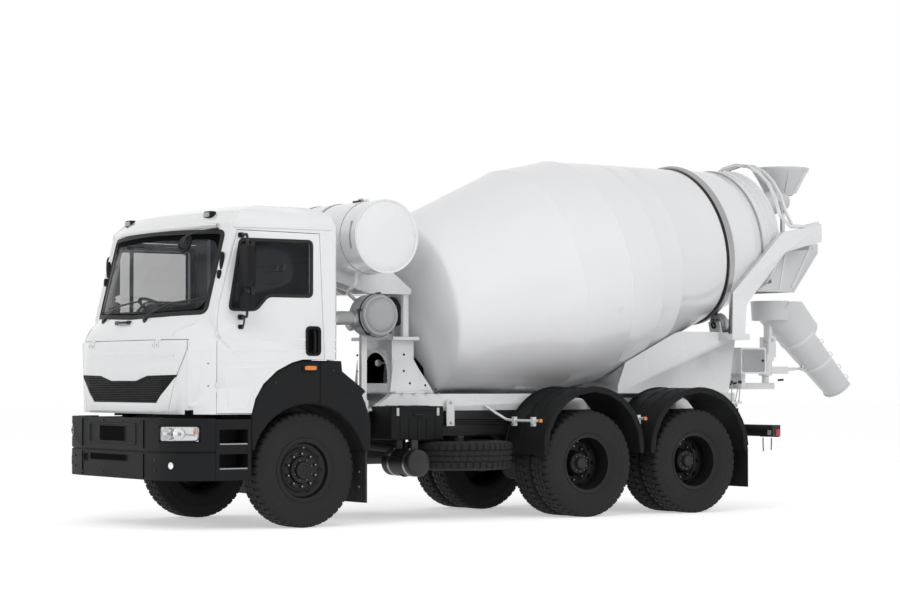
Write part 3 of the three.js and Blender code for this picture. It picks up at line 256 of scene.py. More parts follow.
RED = Finish("red_lens", (0.5, 0.015, 0.012), 0.2, Texture.FLUTES, coat=0.6, spread=0.12, bump=0.2, scale=60)
# A mid grey; on the white-painted air cleaner it is painted shade.
GREY_AND_SHADED_WHITE = Finish(
    "grey_paint_and_shaded_white", (0.36, 0.37, 0.38), 0.38, Texture.ORANGE_PEEL, coat=0.3, spread=0.06, bump=0.05, scale=200
)
SMOKE = Finish(
    "grey_lens", (0.32, 0.33, 0.34), 0.15, Texture.FLUTES, coat=0.8, spread=0.1, bump=0.2, scale=60
)
# Near-black: painted shade inside holes, openings and recesses, and the colour of dark seams and printed
# borders.
SHADE_AND_SEAM_BLACK = Finish(
    "shade_and_seam_black", (0.003, 0.003, 0.0035), 0.85, Texture.FINE, spread=0.2, bump=0.1, scale=60, specular=0.04
)


# ---------------------------------------------------------------- building meshes


def smooth_path(points: Sequence[Point], steps: int = 6) -> list[Vector]:
    """A smooth line through the points.

    Args:
        points: The points it passes.
        steps: How many parts it has between two of them.

    Returns:
        The points of the smooth line.
    """
    ends = [Vector(p) for p in points]
    first, last = ends[0] * 2 - ends[1], ends[-1] * 2 - ends[-2]
    full = [first, *ends, last]
    path = []
    for i in range(1, len(full) - 2):
        a, b, c, d = full[i - 1 : i + 3]
        for k in range(steps):
            t = k / steps
            path.append(
                0.5 * (
                    2 * b + (c - a) * t + (2 * a - 5 * b + 4 * c - d) * t**2 + (3 * b - a - 3 * c + d) * t**3
                )
            )
    return [*path, ends[-1]]


def across(axis: Vector) -> tuple[Vector, Vector]:
    """Two directions at right angles to an axis and to each other."""
    side = axis.orthogonal().normalized() if abs(axis.z) > 0.9 else Z_AXIS.cross(axis).normalized()
    return side, axis.cross(side).normalized()


class Solid:
    """Collects the faces of one piece, each with its finish, and makes one object of them."""

    def __init__(self, name: str) -> None:
        """Starts an empty piece.

        Args:
            name: What the piece is called.
        """
        self.name = name
        self.mesh = bmesh.new()
        self.finishes: list[Finish] = []

    def _index(self, finish: Finish) -> int:
        """The place of a finish in this piece's list."""
        if finish not in self.finishes:
            self.finishes.append(finish)
        return self.finishes.index(finish)

    def faces(self, points: Iterable[Point], faces: Iterable[Sequence[int]], finish: Finish) -> None:
        """Adds faces over a list of points.

        Args:
            points: The corners.
            faces: Each face as places in that list.
            finish: What the faces are finished with.
        """
        corners = [self.mesh.verts.new(p) for p in points]
        mark = self._index(finish)
        for face in faces:
            if len(set(face)) > 2:
                self.mesh.faces.new([corners[i] for i in face]).material_index = mark

    def sheet(
        self, rows: Sequence[Sequence[Point]], finish: Finish, closed: bool = False, ends: bool = False
    ) -> None:
        """Adds a surface through rows of points.

        Args:
            rows: Rows with the same number of points each.
            finish: What it is finished with.
            closed: Whether each row runs back to its start.
            ends: Whether the first and last rows are filled in.
        """
        width = len(rows[0])
        count = width if closed else width - 1
        faces = []
        for i in range(len(rows) - 1):
            for j in range(count):
                k = (j + 1) % width
                faces.append((i * width + j, i * width + k, (i + 1) * width + k, (i + 1) * width + j))
        if ends:
            faces.append(tuple(range(width)))
            faces.append(tuple(reversed(range((len(rows) - 1) * width, len(rows) * width))))
        self.faces([p for row in rows for p in row], faces, finish)

    def turned(
        self,
        origin: Point,
        axis: Vector,
        profile: Profile,
        finish: Finish,
        sides: int = 48,
        start: float = 0.0,
        turn: float = 360.0,
    ) -> None:
        """Adds a profile turned about an axis.

        Args:
            origin: Where the profile's distances are counted from.
            axis: The direction of the axis.
            profile: Pairs of a distance along the axis and a radius.
            finish: What it is finished with.
            sides: How many steps a full turn has.
            start: Where the turn starts, in degrees.
            turn: How far it goes, in degrees.
        """
        axis = axis.normalized()
        u, v = across(axis)
        whole = turn >= 360.0
        steps = max(3, round(sides * turn / 360.0))
        angles = [math.radians(start + turn * k / steps) for k in range(steps if whole else steps + 1)]
        rows = []
        for along, radius in profile:
            centre = Vector(origin) + axis * along
            reach = max(radius, 1e-5)
            rows.append([centre + (u * math.cos(a) + v * math.sin(a)) * reach for a in angles])
        self.sheet(rows, finish, closed=whole)

    def box(self, low: Point, high: Point, finish: Finish) -> None:
        """Adds a box between two corners.

        Args:
            low: Its lowest corner.
            high: Its highest corner.
            finish: What it is finished with.
        """
        centre = (Vector(low) + Vector(high)) / 2
        half = (Vector(high) - Vector(low)) / 2
        signs = [(x, y, z) for z in (-1, 1) for y in (-1, 1) for x in (-1, 1)]
        placed = [centre + Vector((s[0] * half.x, s[1] * half.y, s[2] * half.z)) for s in signs]
        sides = [(0, 2, 3, 1), (4, 5, 7, 6), (0, 1, 5, 4), (2, 6, 7, 3), (0, 4, 6, 2), (1, 3, 7, 5)]
        self.faces(placed, sides, finish)

    def prism(self, outline: Sequence[Point], reach: Vector, finish: Finish) -> None:
        """Adds a flat outline drawn out along a direction.

        Args:
            outline: The outline's corners.
            reach: How far and which way it is drawn out.
            finish: What it is finished with.
        """
        near = [Vector(p) for p in outline]
        self.sheet([near, [p + reach for p in near]], finish, closed=True, ends=True)

    def tube(
        self,
        points: Sequence[Point],
        radius: float,
        finish: Finish,
        sides: int = 12,
        steps: int = 6,
        waves: float = 0.0,
    ) -> None:
        """Adds a round tube along a smooth line.

        Args:
            points: The points that the line passes.
            radius: The tube's radius.
            finish: What it is finished with.
            sides: How many sides the tube has.
            steps: How many parts the line has between two points; 0 keeps it straight there.
            waves: How deep its corrugations are, as a share of the radius.
        """
        path = smooth_path(points, steps) if steps else [Vector(p) for p in points]
        heading = (path[1] - path[0]).normalized()
        side = across(heading)[0]
        rows = []
        turns = [math.tau * k / sides for k in range(sides)]
        for i, at in enumerate(path):
            ahead = (path[min(i + 1, len(path) - 1)] - path[max(i - 1, 0)]).normalized()
            side = (side - ahead * side.dot(ahead)).normalized()
            up = ahead.cross(side)
            here = radius * (1 + waves * (-1) ** i)
            rows.append([at + (side * math.cos(a) + up * math.sin(a)) * here for a in turns])
        self.sheet(rows, finish, closed=True, ends=True)

    def bolt(self, at: Point, axis: Vector, radius: float, finish: Finish, height: float = 0.6) -> None:
        """Adds a hexagon bolt head on a washer.

        Args:
            at: Where it meets the surface.
            axis: Which way it points.
            radius: The head's radius.
            finish: What it is finished with.
            height: The head's height as a share of its radius.
        """
        washer = [(0, radius * 1.35), (radius * 0.2, radius * 1.35), (radius * 0.2, 0)]
        head = [
            (0, radius), (radius * height, radius), (radius * (height + 0.12), radius * 0.82),
            (radius * (height + 0.12), 0),
        ]
        self.turned(at, axis, washer, finish, 16)
        self.turned(Vector(at) + axis.normalized() * radius * 0.2, axis, head, finish, 6)

    def ball(self, centre: Point, reach: Point, finish: Finish, power: float = 2.0, sides: int = 24) -> None:
        """Adds a rounded block, from a ball towards a box as the power rises.

        Args:
            centre: Its middle.
            reach: Half its size along each axis.
            finish: What it is finished with.
            power: 2 is an ellipsoid, and more is squarer.
            sides: How many steps it has round it.
        """
        def bent(value: float) -> float:
            """A sine or cosine pushed towards its ends."""
            return math.copysign(abs(value) ** (2 / power), value)

        rows = []
        for i in range(sides // 2 + 1):
            tilt = math.pi * (i / (sides // 2) - 0.5)
            ring = []
            for j in range(sides):
                turn = math.tau * j / sides
                flat = max(bent(math.cos(tilt)), 1e-4)
                unit = (flat * bent(math.cos(turn)), flat * bent(math.sin(turn)), bent(math.sin(tilt)))
                ring.append(Vector(centre) + Vector([u * r for u, r in zip(unit, reach)]))
            rows.append(ring)
        self.sheet(rows, finish, closed=True)

    def flat(self, outline: Sequence[Point], finish: Finish) -> None:
        """Fills an outline with one face."""
        self.faces(outline, [tuple(range(len(outline)))], finish)

    def ring(
        self, centre: Point, axis: Vector, reach: float, count: int, shift: float = 0.0
    ) -> list[tuple[Vector, Vector]]:
        """Places spread evenly round an axis.

        Args:
            centre: The middle of their ring.
            axis: The direction of the axis.
            reach: The ring's radius.
            count: How many there are.
            shift: How far the first one is turned, in steps.

        Returns:
            Each place with its direction outwards.
        """
        u, v = across(axis)
        turns = [math.tau * (k + shift) / count for k in range(count)]
        outward = [u * math.cos(turn) + v * math.sin(turn) for turn in turns]
        return [(Vector(centre) + out * reach, out) for out in outward]

    def mirrored(self) -> None:
        """Adds the same faces on the other side of the truck."""
        copy = bmesh.ops.duplicate(
            self.mesh, geom=[*self.mesh.verts, *self.mesh.edges, *self.mesh.faces]
        )["geom"]
        corners = [item for item in copy if isinstance(item, bmesh.types.BMVert)]
        for corner in corners:
            corner.co.x = -corner.co.x
        bmesh.ops.reverse_faces(
            self.mesh, faces=[item for item in copy if isinstance(item, bmesh.types.BMFace)]
        )

    def place(
        self,
        body: str,
        slot: str,
        replaces: Sequence[str] = (),
        bevel: float = 0.0,
        angle: float = 40.0,
    ) -> bpy.types.Object:
        """Makes the object and ties it to the truck.

        Args:
            body: The moving body that it rides.
            slot: The name of a material slot; not used.
            replaces: The construction nodes that it stands for.
            bevel: The width of its rounded edges.
            angle: The corner angle over which an edge stays sharp.

        Returns:
            The new object.
        """
        bmesh.ops.remove_doubles(self.mesh, verts=self.mesh.verts, dist=JOINED_WITHIN)
        bmesh.ops.recalc_face_normals(self.mesh, faces=self.mesh.faces)
        data = bpy.data.meshes.new(self.name)
        self.mesh.to_mesh(data)
        self.mesh.free()
        for finish in self.finishes:
            data.materials.append(finish.material())
        made = bpy.data.objects.new(self.name, data)
        bpy.context.scene.collection.objects.link(made)
        data.polygons.foreach_set("use_smooth", [True] * len(data.polygons))
        data.set_sharp_from_angle(angle=math.radians(angle))
        if bevel:
            soften(made, bevel, angle)
        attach(made, body)
        if replaces:
            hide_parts(*replaces)
        LOG.info("%s: %d faces on %s", self.name, len(data.polygons), body)
        return made


def soften(piece: bpy.types.Object, width: float, angle: float = 32.0) -> None:
    """Rounds an object's edges.

    Args:
        piece: The object.
        width: The width of the rounding.
        angle: The corner angle over which an edge is rounded.
    """
    rounding = piece.modifiers.new("rounding", "BEVEL")
    rounding.width = width
    rounding.segments = 2
    rounding.limit_method = "ANGLE"
    rounding.angle_limit = math.radians(angle)
    rounding.harden_normals = True
    rounding.use_clamp_overlap = True


# ---------------------------------------------------------------- wheels


RIM_HALF = 0.11  # half a rim's width


class Zone(Enum):
    """The parts of a tyre's section."""

    SMOOTH = "wall or groove"
    SHOULDER = "shoulder blocks"
    MIDDLE = "middle blocks"


@dataclass
class Tyre:
    """One tyre with a block tread, worn by a wheel or carried as the spare."""

    node: str
    body: str
    axis: Vector = field(default_factory=lambda: X_AXIS.copy())
    radius: float = 0.527
    width: float = 0.278
    bead: float = 0.285
    pitches: int = 46
    groove: float = 0.013
    pitch_shape: tuple[tuple[float, bool], ...] = ((0.0, True), (0.66, True), (0.74, False), (0.92, False))

    def build(self) -> None:
        """Makes the tyre and hides the construction's plain ring."""
        piece = Solid(self.node + "_rubber")
        self.add_to(piece, middle(self.node))
        piece.place(self.body, "tyre_rubber", [self.node], angle=38)

    def add_to(self, piece: Solid, centre: Vector) -> None:
        """Adds the tread and both walls to a piece.

        Args:
            piece: The piece that the tyre belongs to.
            centre: The tyre's middle.
        """
        u, v = across(self.axis)
        rows = []
        for place, radius, zone in self._stations():
            ring = []
            lean = 0.5 if zone is Zone.SHOULDER and place > 0 else 0.0
            shift = 0.2 if zone is Zone.MIDDLE else 0.0
            for pitch in range(self.pitches):
                for part, raised in self.pitch_shape:
                    turn = math.tau * (pitch + part + lean + shift) / self.pitches
                    depth = 0.0 if raised or zone is Zone.SMOOTH else self.groove
                    reach = radius - depth * (0.55 if zone is Zone.MIDDLE else 1.0)
                    ring.append(
                        centre + self.axis * place + (u * math.cos(turn) + v * math.sin(turn)) * reach
                    )
            rows.append(ring)
        piece.sheet(rows, TYRE, closed=True)

    def _stations(self) -> list[tuple[float, float, "Zone"]]:
        """The tyre's section: each place across it, its radius and its zone of the tread."""
        smooth, shoulder, middle_blocks = Zone
        r, half, low = self.radius, self.width / 2, self.radius - self.groove
        wall = [
            (half - 0.03, self.bead - 0.004, smooth), (half - 0.022, self.bead + 0.012, smooth),
            (half - 0.012, self.bead + 0.03, smooth), (half - 0.01, self.bead + 0.034, smooth),
            (half - 0.004, self.bead + 0.075, smooth), (half, self.bead + 0.118, smooth),
            (half - 0.001, self.bead + 0.135, smooth), (half + 0.001, self.bead + 0.138, smooth),
            (half - 0.003, self.bead + 0.165, smooth), (half - 0.007, r - 0.046, smooth),
            (half - 0.009, r - 0.03, shoulder), (half - 0.016, r - 0.01, shoulder),
            (half - 0.03, r - 0.001, shoulder), (0.062, r, shoulder), (0.058, low, smooth),
            (0.05, low, smooth), (0.046, r, middle_blocks), (0.008, r, middle_blocks),
            (0.004, low, smooth),
        ]
        other = [(-place, radius, zone) for place, radius, zone in reversed(wall)]
        return [*wall, *other]


@dataclass
class FrontWheel:
    """A steered wheel: rim, dished disc, hub and its ring of nuts."""

    side: str
    nuts: int = 10

    def build(self) -> None:
        """Makes the wheel and its tyre."""
        node = f"wheel_front_{self.side}"
        body = f"front_wheel_{self.side}"
        tyre = Tyre(f"tyre_front_{self.side}", body)
        tyre.build()
        out = X_AXIS * (1 if self.side == "left" else -1)
        centre = middle(tyre.node)
        piece = Solid(node + "_disc")
        piece.turned(centre, out, rim_profile(RIM_HALF), ENAMEL, 72)
        disc = [
            (0.058, 0.262), (0.075, 0.252), (0.08, 0.236), (0.068, 0.215), (0.044, 0.19), (0.046, 0.178),
            (0.052, 0.172), (0.052, 0.128), (0.058, 0.124), (0.082, 0.118), (0.086, 0.106), (0.086, 0.084),
            (0.112, 0.078), (0.118, 0.07), (0.118, 0.045), (0.112, 0.04), (0.112, 0.012), (0.116, 0.01),
            (0.116, 0.0),
        ]
        piece.turned(centre, out, disc, ENAMEL, 72)
        piece.turned(centre, out, [(-0.06, 0.0), (-0.06, 0.16), (0.04, 0.19), (0.058, 0.262)], ENAMEL, 48)
        ring_of_nuts(piece, centre + out * 0.052, out, 0.15, self.nuts, 0.015)
        ring_of_nuts(piece, centre + out * 0.086, out, 0.095, 8, 0.007)
        hand_holes(piece, centre + out * 0.067, out, 0.222, 0.018, 10)
        valve(piece, centre + out * 0.06, out, 0.205)
        piece.place(body, "black_steel", [node], angle=30)


@dataclass
class TwinWheel:
    """A pair of rear wheels on one hub."""

    axle: int
    side: str
    spacing: float = 0.315

    def build(self) -> None:
        """Makes both wheels of the pair, their hub and their tyres."""
        node = f"wheel_rear_{self.axle}_{self.side}"
        body = f"rear_wheels_{self.axle}_{self.side}"
        for row in ("outer", "inner"):
            Tyre(f"tyre_rear_{self.axle}_{row}_{self.side}", body).build()
        out = X_AXIS * (1 if self.side == "left" else -1)
        centre = middle(f"tyre_rear_{self.axle}_outer_{self.side}")
        piece = Solid(node + "_disc")
        piece.turned(centre, out, rim_profile(RIM_HALF), ENAMEL, 72)
        piece.turned(centre - out * self.spacing, out, rim_profile(RIM_HALF), ENAMEL, 72)
        dish = [
            (-0.06, 0.262), (-0.095, 0.25), (-0.13, 0.226), (-0.143, 0.205), (-0.143, 0.13), (-0.135, 0.126),
            (-0.07, 0.118), (-0.062, 0.112), (-0.03, 0.106), (-0.024, 0.098), (-0.02, 0.06), (-0.014, 0.056),
            (-0.014, 0.0),
        ]
        piece.turned(centre, out, dish, ENAMEL, 72)
        back = [(-0.172, 0.13), (-0.172, 0.205), (-0.19, 0.226), (-0.225, 0.25), (-0.255, 0.262)]
        piece.turned(centre, out, back, ENAMEL, 48)
        piece.turned(centre, out, [(-0.4, 0.06), (-0.4, 0.14), (-0.172, 0.15), (-0.143, 0.14)], CAST, 48)
        ring_of_nuts(piece, centre - out * 0.143, out, 0.168, 10, 0.016)
        ring_of_nuts(piece, centre - out * 0.024, out, 0.082, 10, 0.007)
        hand_holes(piece, centre - out * 0.115, out, 0.232, 0.02, 10)
        valve(piece, centre - out * 0.1, out, 0.215)
        piece.place(body, "black_steel", [node], angle=30)


def rim_profile(half: float) -> Profile:
    """A rim's section from its inner lip to its outer lip, with the drop between them.

    Args:
        half: Half its width.

    Returns:
        Pairs of a place across the rim and a radius.
    """
    return [
        (-half - 0.004, 0.283), (-half - 0.008, 0.29), (-half - 0.002, 0.296), (-half + 0.004, 0.288),
        (-half + 0.008, 0.266), (-half + 0.03, 0.262), (-half + 0.045, 0.252), (half - 0.075, 0.252),
        (half - 0.05, 0.262), (half - 0.012, 0.266), (half - 0.004, 0.28), (half + 0.002, 0.296),
        (half + 0.01, 0.292), (half + 0.008, 0.284), (half + 0.001, 0.276), (half - 0.006, 0.258),
        (half - 0.045, 0.253), (half - 0.07, 0.244), (-half + 0.045, 0.244), (-half + 0.02, 0.255),
        (-half - 0.004, 0.283),
    ]


def ring_of_nuts(piece: Solid, centre: Vector, axis: Vector, reach: float, count: int, size: float) -> None:
    """Adds nuts evenly round an axis.

    Args:
        piece: The piece they belong to.
        centre: The middle of their ring.
        axis: Which way they point.
        reach: The ring's radius.
        count: How many there are.
        size: Each nut's radius.
    """
    for at, _ in piece.ring(centre, axis, reach, count, 0.5):
        piece.bolt(at, axis, size, ENAMEL if size > 0.01 else BLACK, 0.9)
        piece.turned(
            at + axis * size, axis, [(0, size * 0.5), (size * 0.8, size * 0.45), (size * 0.8, 0)], STEEL, 10
        )


def hand_holes(piece: Solid, centre: Vector, axis: Vector, reach: float, size: float, count: int) -> None:
    """Adds the rimmed round holes in a wheel's disc.

    Args:
        piece: The piece they belong to.
        centre: The middle of their ring.
        axis: Which way they face.
        reach: The ring's radius.
        size: Each hole's radius.
        count: How many there are.
    """
    for at, _ in piece.ring(centre, axis, reach, count):
        lip = [(-0.006, size * 1.2), (0.004, size * 1.12), (0.004, size * 0.95), (-0.012, size * 0.85)]
        piece.turned(at, axis, lip, ENAMEL, 16)
        # A near-black disc deep in each hole: painted shade for its dark inside.
        piece.turned(at - axis * 0.004, axis, [(0, size * 0.95), (0.0005, 0)], SHADE_AND_SEAM_BLACK, 16)


def valve(piece: Solid, centre: Vector, axis: Vector, reach: float) -> None:
    """Adds a tyre valve to a wheel's disc."""
    at = centre + Z_AXIS * reach
    piece.turned(at, axis, [(0, 0.006), (0.03, 0.005), (0.03, 0.004), (0.045, 0.004), (0.045, 0)], ZINC, 10)


@dataclass
class SpareWheel:
    """The spare, lying flat under the frame behind the air tank."""

    def build(self) -> None:
        """Makes the spare tyre and its disc."""
        low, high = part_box("spare_wheel")
        centre = (low + high) / 2
        piece = Solid("spare_wheel_laid")
        Tyre("spare_wheel", "chassis", axis=Z_AXIS.copy()).add_to(piece, centre)
        piece.turned(centre, Z_AXIS, rim_profile(RIM_HALF), ENAMEL, 64)
        disc = [(-0.06, 0.26), (-0.09, 0.24), (-0.1, 0.2), (-0.07, 0.15), (-0.07, 0.0)]
        piece.turned(centre, Z_AXIS, disc, ENAMEL, 64)
        piece.turned(centre, Z_AXIS, [(0.03, 0.0), (0.03, 0.15), (-0.02, 0.2), (-0.03, 0.26)], ENAMEL, 64)
        piece.turned(
            centre, Z_AXIS, [(0.03, 0.05), (high.z - centre.z + 0.03, 0.05), (high.z - centre.z + 0.03, 0)],
            CAST, 20,
        )
        piece.place("chassis", "tyre_rubber", ["spare_wheel"], angle=38)


@dataclass
class Wheels:
    """Every wheel of the truck."""

    def build(self) -> None:
        """Makes the front wheels, the twin rear wheels and the spare."""
        for side, _ in SIDES:
            FrontWheel(side).build()
            for axle in (1, 2):
                TwinWheel(axle, side).build()
        SpareWheel().build()


# ---------------------------------------------------------------- drum, tank and air cleaner


@dataclass
class MixerDrum:
    """The drum: its shell and seams, the track ring, the mouth, the hatch and the mixing spirals."""

    foot: tuple[float, float, float] = (0.0, 1.0, 1.89)
    tilt: float = math.radians(11.8)
    head: tuple[float, float] = (0.889, 0.866)
    full: tuple[float, float, float] = (2.243, 2.824, 1.172)
    mouth: tuple[float, float] = (5.275, 0.654)
    track: tuple[float, float] = (4.43, 0.867)
    wall: float = 0.016

    @property
    def axis(self) -> Vector:
        """The direction from the gearbox to the mouth."""
        return Vector((0.0, math.cos(self.tilt), math.sin(self.tilt)))

    def at(self, station: float, radius: float, degrees: float) -> Vector:
        """A point by its place along the axis, its radius and its angle up from the left side."""
        u, v = X_AXIS, X_AXIS.cross(self.axis)
        turn = math.radians(degrees)
        return spot(*self.foot) + self.axis * station + (u * math.cos(turn) - v * math.sin(turn)) * radius

    def radius_at(self, station: float) -> float:
        """The shell's outer radius at a place along its rear cone or its cylinder."""
        _, end, full = self.full
        share = max(0.0, (station - end) / (self.mouth[0] - end))
        return full + (self.mouth[1] - full) * share

    def build(self) -> None:
        """Makes the shell with everything that is fastened to it."""
        piece = Solid("drum_welded_shell")
        origin = spot(*self.foot)
        piece.turned(origin, self.axis, self._outside(), DRUM_WHITE, 128)
        # The inner skin takes the darker white: partly painted shade for the drum's inside.
        piece.turned(origin, self.axis, self._inside(), WORN_AND_SHADED_WHITE, 128)
        self._track_ring(piece, origin)
        self._mouth_rim(piece, origin)
        self._hatch(piece)
        self._spirals(piece)
        self._head_boss(piece, origin)
        piece.place("drum", "white_paint", ["drum_shell"], angle=24)

    def _outside(self) -> Profile:
        """The outer skin from the head's middle to the mouth, with a raised weld at each joint."""
        start, end, full = self.full
        head = [
            (0.7, 0.0), (0.706, 0.18), (0.722, 0.3), (0.746, 0.44), (0.775, 0.56), (0.802, 0.66),
            (0.828, 0.74),
        ]
        knuckle = [(0.848, 0.79), (0.866, 0.826), (0.88, 0.85), (0.893, 0.866)]
        front = [(self.head[0] + 0.03, 0.881)]
        share = [0.25, 0.5, 0.75, 0.97]
        near, narrow = self.head
        cone = [(near + (start - near) * s, narrow + (full - narrow) * s) for s in share]
        joint = [(start - 0.012, full - 0.001), (start - 0.006, full + 0.003), (start + 0.006, full + 0.003)]
        cylinder = [
            (start + 0.012, full), (end - 0.012, full), (end - 0.006, full + 0.003),
            (end + 0.006, full + 0.003),
        ]
        rear = [(end + 0.012, self.radius_at(end + 0.012))]
        for station in (3.3, 3.62):
            rear += self._weld(station)
        rear += [(4.1, self.radius_at(4.1)), *self._weld(4.86), (self.mouth[0], self.mouth[1])]
        return [*head, *knuckle, *front, *cone, *joint, *cylinder, *rear]

    def _weld(self, station: float) -> Profile:
        """A low weld ridge across the rear cone."""
        shape = ((-0.006, 0.0), (-0.002, 0.0018), (0.002, 0.0018), (0.006, 0.0))
        return [(station + step, self.radius_at(station + step) + rise) for step, rise in shape]

    def _inside(self) -> Profile:
        """The inner skin, from the mouth back to the head."""
        start, end, full = self.full
        w = self.wall
        mouth, radius = self.mouth
        return [
            (mouth, radius), (mouth, radius - w), (end, full - w), (start, full - w), (0.91, 0.84),
            (0.74, 0.0),
        ]

    def _track_ring(self, piece: Solid, origin: Vector) -> None:
        """The bare steel ring that turns on the rollers, with its welded feet."""
        place, radius = self.track
        low, high = place - 0.035, place + 0.035
        ring = [
            (low - 0.004, self.radius_at(low) - 0.002), (low - 0.002, radius - 0.01),
            (low + 0.004, radius - 0.002),
            (low + 0.008, radius), (high - 0.008, radius), (high - 0.004, radius - 0.002),
            (high + 0.002, radius - 0.01),
            (high + 0.004, self.radius_at(high) - 0.002),
        ]
        piece.turned(origin, self.axis, ring, STEEL, 128)
        for edge, step in ((low, -1), (high, 1)):
            shape = ((0.002, 0.0, 0.002), (0.03, 0.03, 0.005), (0.036, 0.036, -0.002))
            foot = [(edge + step * off, self.radius_at(edge + step * at) + rise) for off, at, rise in shape]
            piece.turned(origin, self.axis, foot, BLACK if step < 0 else DRUM_WHITE, 128)

    def _mouth_rim(self, piece: Solid, origin: Vector) -> None:
        """The flanges and the rolled edge round the mouth."""
        end, radius = self.mouth
        shape = ((0.032, 0.0), (0.03, 0.024), (0.024, 0.026), (0.004, 0.026), (0.0, 0.022), (0.0, -0.016))
        rim = [(end - back, radius + rise) for back, rise in shape]
        piece.turned(origin, self.axis, rim, WHITE, 96)
        for station in (4.98, 5.1):
            near = self.radius_at(station)
            shape = ((-0.012, -0.002), (-0.01, 0.014), (0.01, 0.012), (0.012, -0.003))
            hoop = [(station + off, near + rise) for off, rise in shape]
            piece.turned(origin, self.axis, hoop, STEEL if station < 5.0 else WHITE, 96)

    def _hatch(self, piece: Solid) -> None:
        """The bolted hatch on top of the drum's widest part."""
        start, end = self.full[0] + 0.06, self.full[0] + 0.47
        for rise, cut in ((0.004, 0.0), (0.013, 0.03)):
            rows = []
            for station in (start + cut, start + cut + 0.004, end - cut - 0.004, end - cut):
                edge = station in (start + cut, end - cut)
                reach = self.full[2] + (0.0 if edge else rise)
                turns = [k * 1.6 - 11.2 + (k == 0) * cut * 40 for k in range(15)]
                rows.append([self.at(station, reach, 90 + turn) for turn in turns])
            piece.sheet(rows, WHITE)
        for station in (start + 0.015, (start + end) / 2, end - 0.015):
            for turn in (-10.5, -5.2, 0.0, 5.2, 10.5):
                if station in (start + 0.015, end - 0.015) or abs(turn) > 10:
                    top = self.at(station, self.full[2] + 0.004, 90 + turn)
                    piece.bolt(top, (top - self.at(station, 0, 0)).normalized(), 0.011, ZINC)
        rises = ((start + 0.13, 0.01), (start + 0.15, 0.02), (end - 0.15, 0.02), (end - 0.13, 0.01))
        handle = [self.at(s, self.full[2] + h, 90) for s, h in rises]
        piece.tube(handle, 0.007, BLACK, 8)

    def _spirals(self, piece: Solid) -> None:
        """The two mixing spirals inside, from the mouth down to the widest part."""
        steps = 110
        for lead in (0.0, 180.0):
            rows = []
            for k in range(steps):
                station = 5.2 - 2.6 * k / (steps - 1)
                turn = lead + 620.0 * k / (steps - 1)
                shell = self.radius_at(station) - self.wall
                blade = ((0.0, 0.0), (0.05, 0.19), (0.056, 0.19), (0.006, 0.0))
                rows.append([self.at(station + step, shell - depth, turn) for step, depth in blade])
            piece.sheet(rows, WORN_AND_SHADED_WHITE)

    def _head_boss(self, piece: Solid, origin: Vector) -> None:
        """The flange on the drum's head that the gearbox drives."""
        boss = [(0.642, 0.0), (0.642, 0.15), (0.66, 0.156), (0.68, 0.15), (0.712, 0.148)]
        piece.turned(origin, self.axis, boss, CAST, 48)
        for k in range(12):
            at = self.at(0.662, 0.128, 30 * k)
            piece.bolt(at - self.axis * 0.02, -self.axis, 0.01, ZINC)


@dataclass
class WaterTank:
    """The water tank across the truck behind the cab."""

    straps: tuple[float, ...] = (-0.7, -0.2, 0.2, 0.7)

    def build(self) -> None:
        """Makes the tank with its dished ends, straps, filler and pipes."""
        low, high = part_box("water_tank")
        centre = Vector((0.0, (low.y + high.y) / 2, spot(0, 0, 2.71).z))
        radius = 0.35
        reach = (high.x - low.x) / 2
        piece = Solid("water_tank_rolled")
        skirt = reach - 0.045
        half = [
            (reach - 0.012, 0.0), (reach - 0.013, 0.1), (reach - 0.017, 0.19), (reach - 0.026, 0.265),
            (reach - 0.04, 0.318),
            (reach - 0.052, 0.331), (reach - 0.044, 0.338), (reach - 0.04, 0.346), (skirt + 0.002, 0.352),
            (skirt - 0.014, 0.352),
            (skirt - 0.018, radius - 0.001), (skirt - 0.1, radius - 0.001),
        ]
        whole = [*half, *[(-place, r) for place, r in reversed(half)]]
        piece.turned(centre, X_AXIS, whole, WHITE, 96)
        for strap in self.straps:
            shape = ((-0.022, -0.002), (-0.021, 0.003), (0.021, 0.003), (0.022, -0.002))
            hoop = [(strap + off, radius + rise) for off, rise in shape]
            piece.turned(centre, X_AXIS, hoop, WHITE if abs(strap) > 0.5 else STEEL, 96)
            # A near-black ring along one edge of each strap: a painted shadow line beside the strap.
            piece.turned(
                centre, X_AXIS, [(strap + 0.022, radius + 0.0015), (strap + 0.026, radius - 0.002)], SHADE_AND_SEAM_BLACK, 96
            )
        top = centre + Z_AXIS * radius
        self._filler(piece, top + X_AXIS * 0.5)
        bends = ((0.62, -0.1, -0.33), (0.62, -0.12, -0.45), (0.5, -0.12, -0.52), (0.36, 0.1, -0.62))
        drain = [centre + Vector(bend) for bend in bends]
        piece.tube(drain, 0.018, WHITE, 12)
        gauge = [
            centre + Vector((reach - 0.14, y, z)) for y, z in ((-0.34, -0.12), (-0.352, 0.0), (-0.33, 0.14))
        ]
        piece.tube(gauge, 0.008, SMOKE, 8)
        piece.place("chassis", "white_paint", ["water_tank"], angle=28)

    def _filler(self, piece: Solid, top: Vector) -> None:
        """The capped filler and the bent breather on the tank's top."""
        neck = [(-0.02, 0.062), (0.01, 0.062), (0.012, 0.052), (0.014, 0.03), (0.018, 0.0)]
        piece.turned(top, Z_AXIS, neck, BLACK, 32)
        for k in range(6):
            turn = math.pi * k / 3
            piece.bolt(
                top + Vector((0.046 * math.cos(turn), 0.046 * math.sin(turn), 0.01)), Z_AXIS, 0.006, ZINC
            )
        bend = [
            top + Vector(p)
            for p in ((0, 0, 0.0), (0, 0, 0.016), (0.012, 0, 0.024), (0.05, 0, 0.024), (0.07, 0, 0.012))
        ]
        piece.tube(bend, 0.013, ZINC, 12)
        side = top + X_AXIS * 0.14
        piece.turned(side, Z_AXIS, [(-0.01, 0.022), (0.02, 0.022), (0.022, 0.014), (0.028, 0.0)], WHITE, 20)


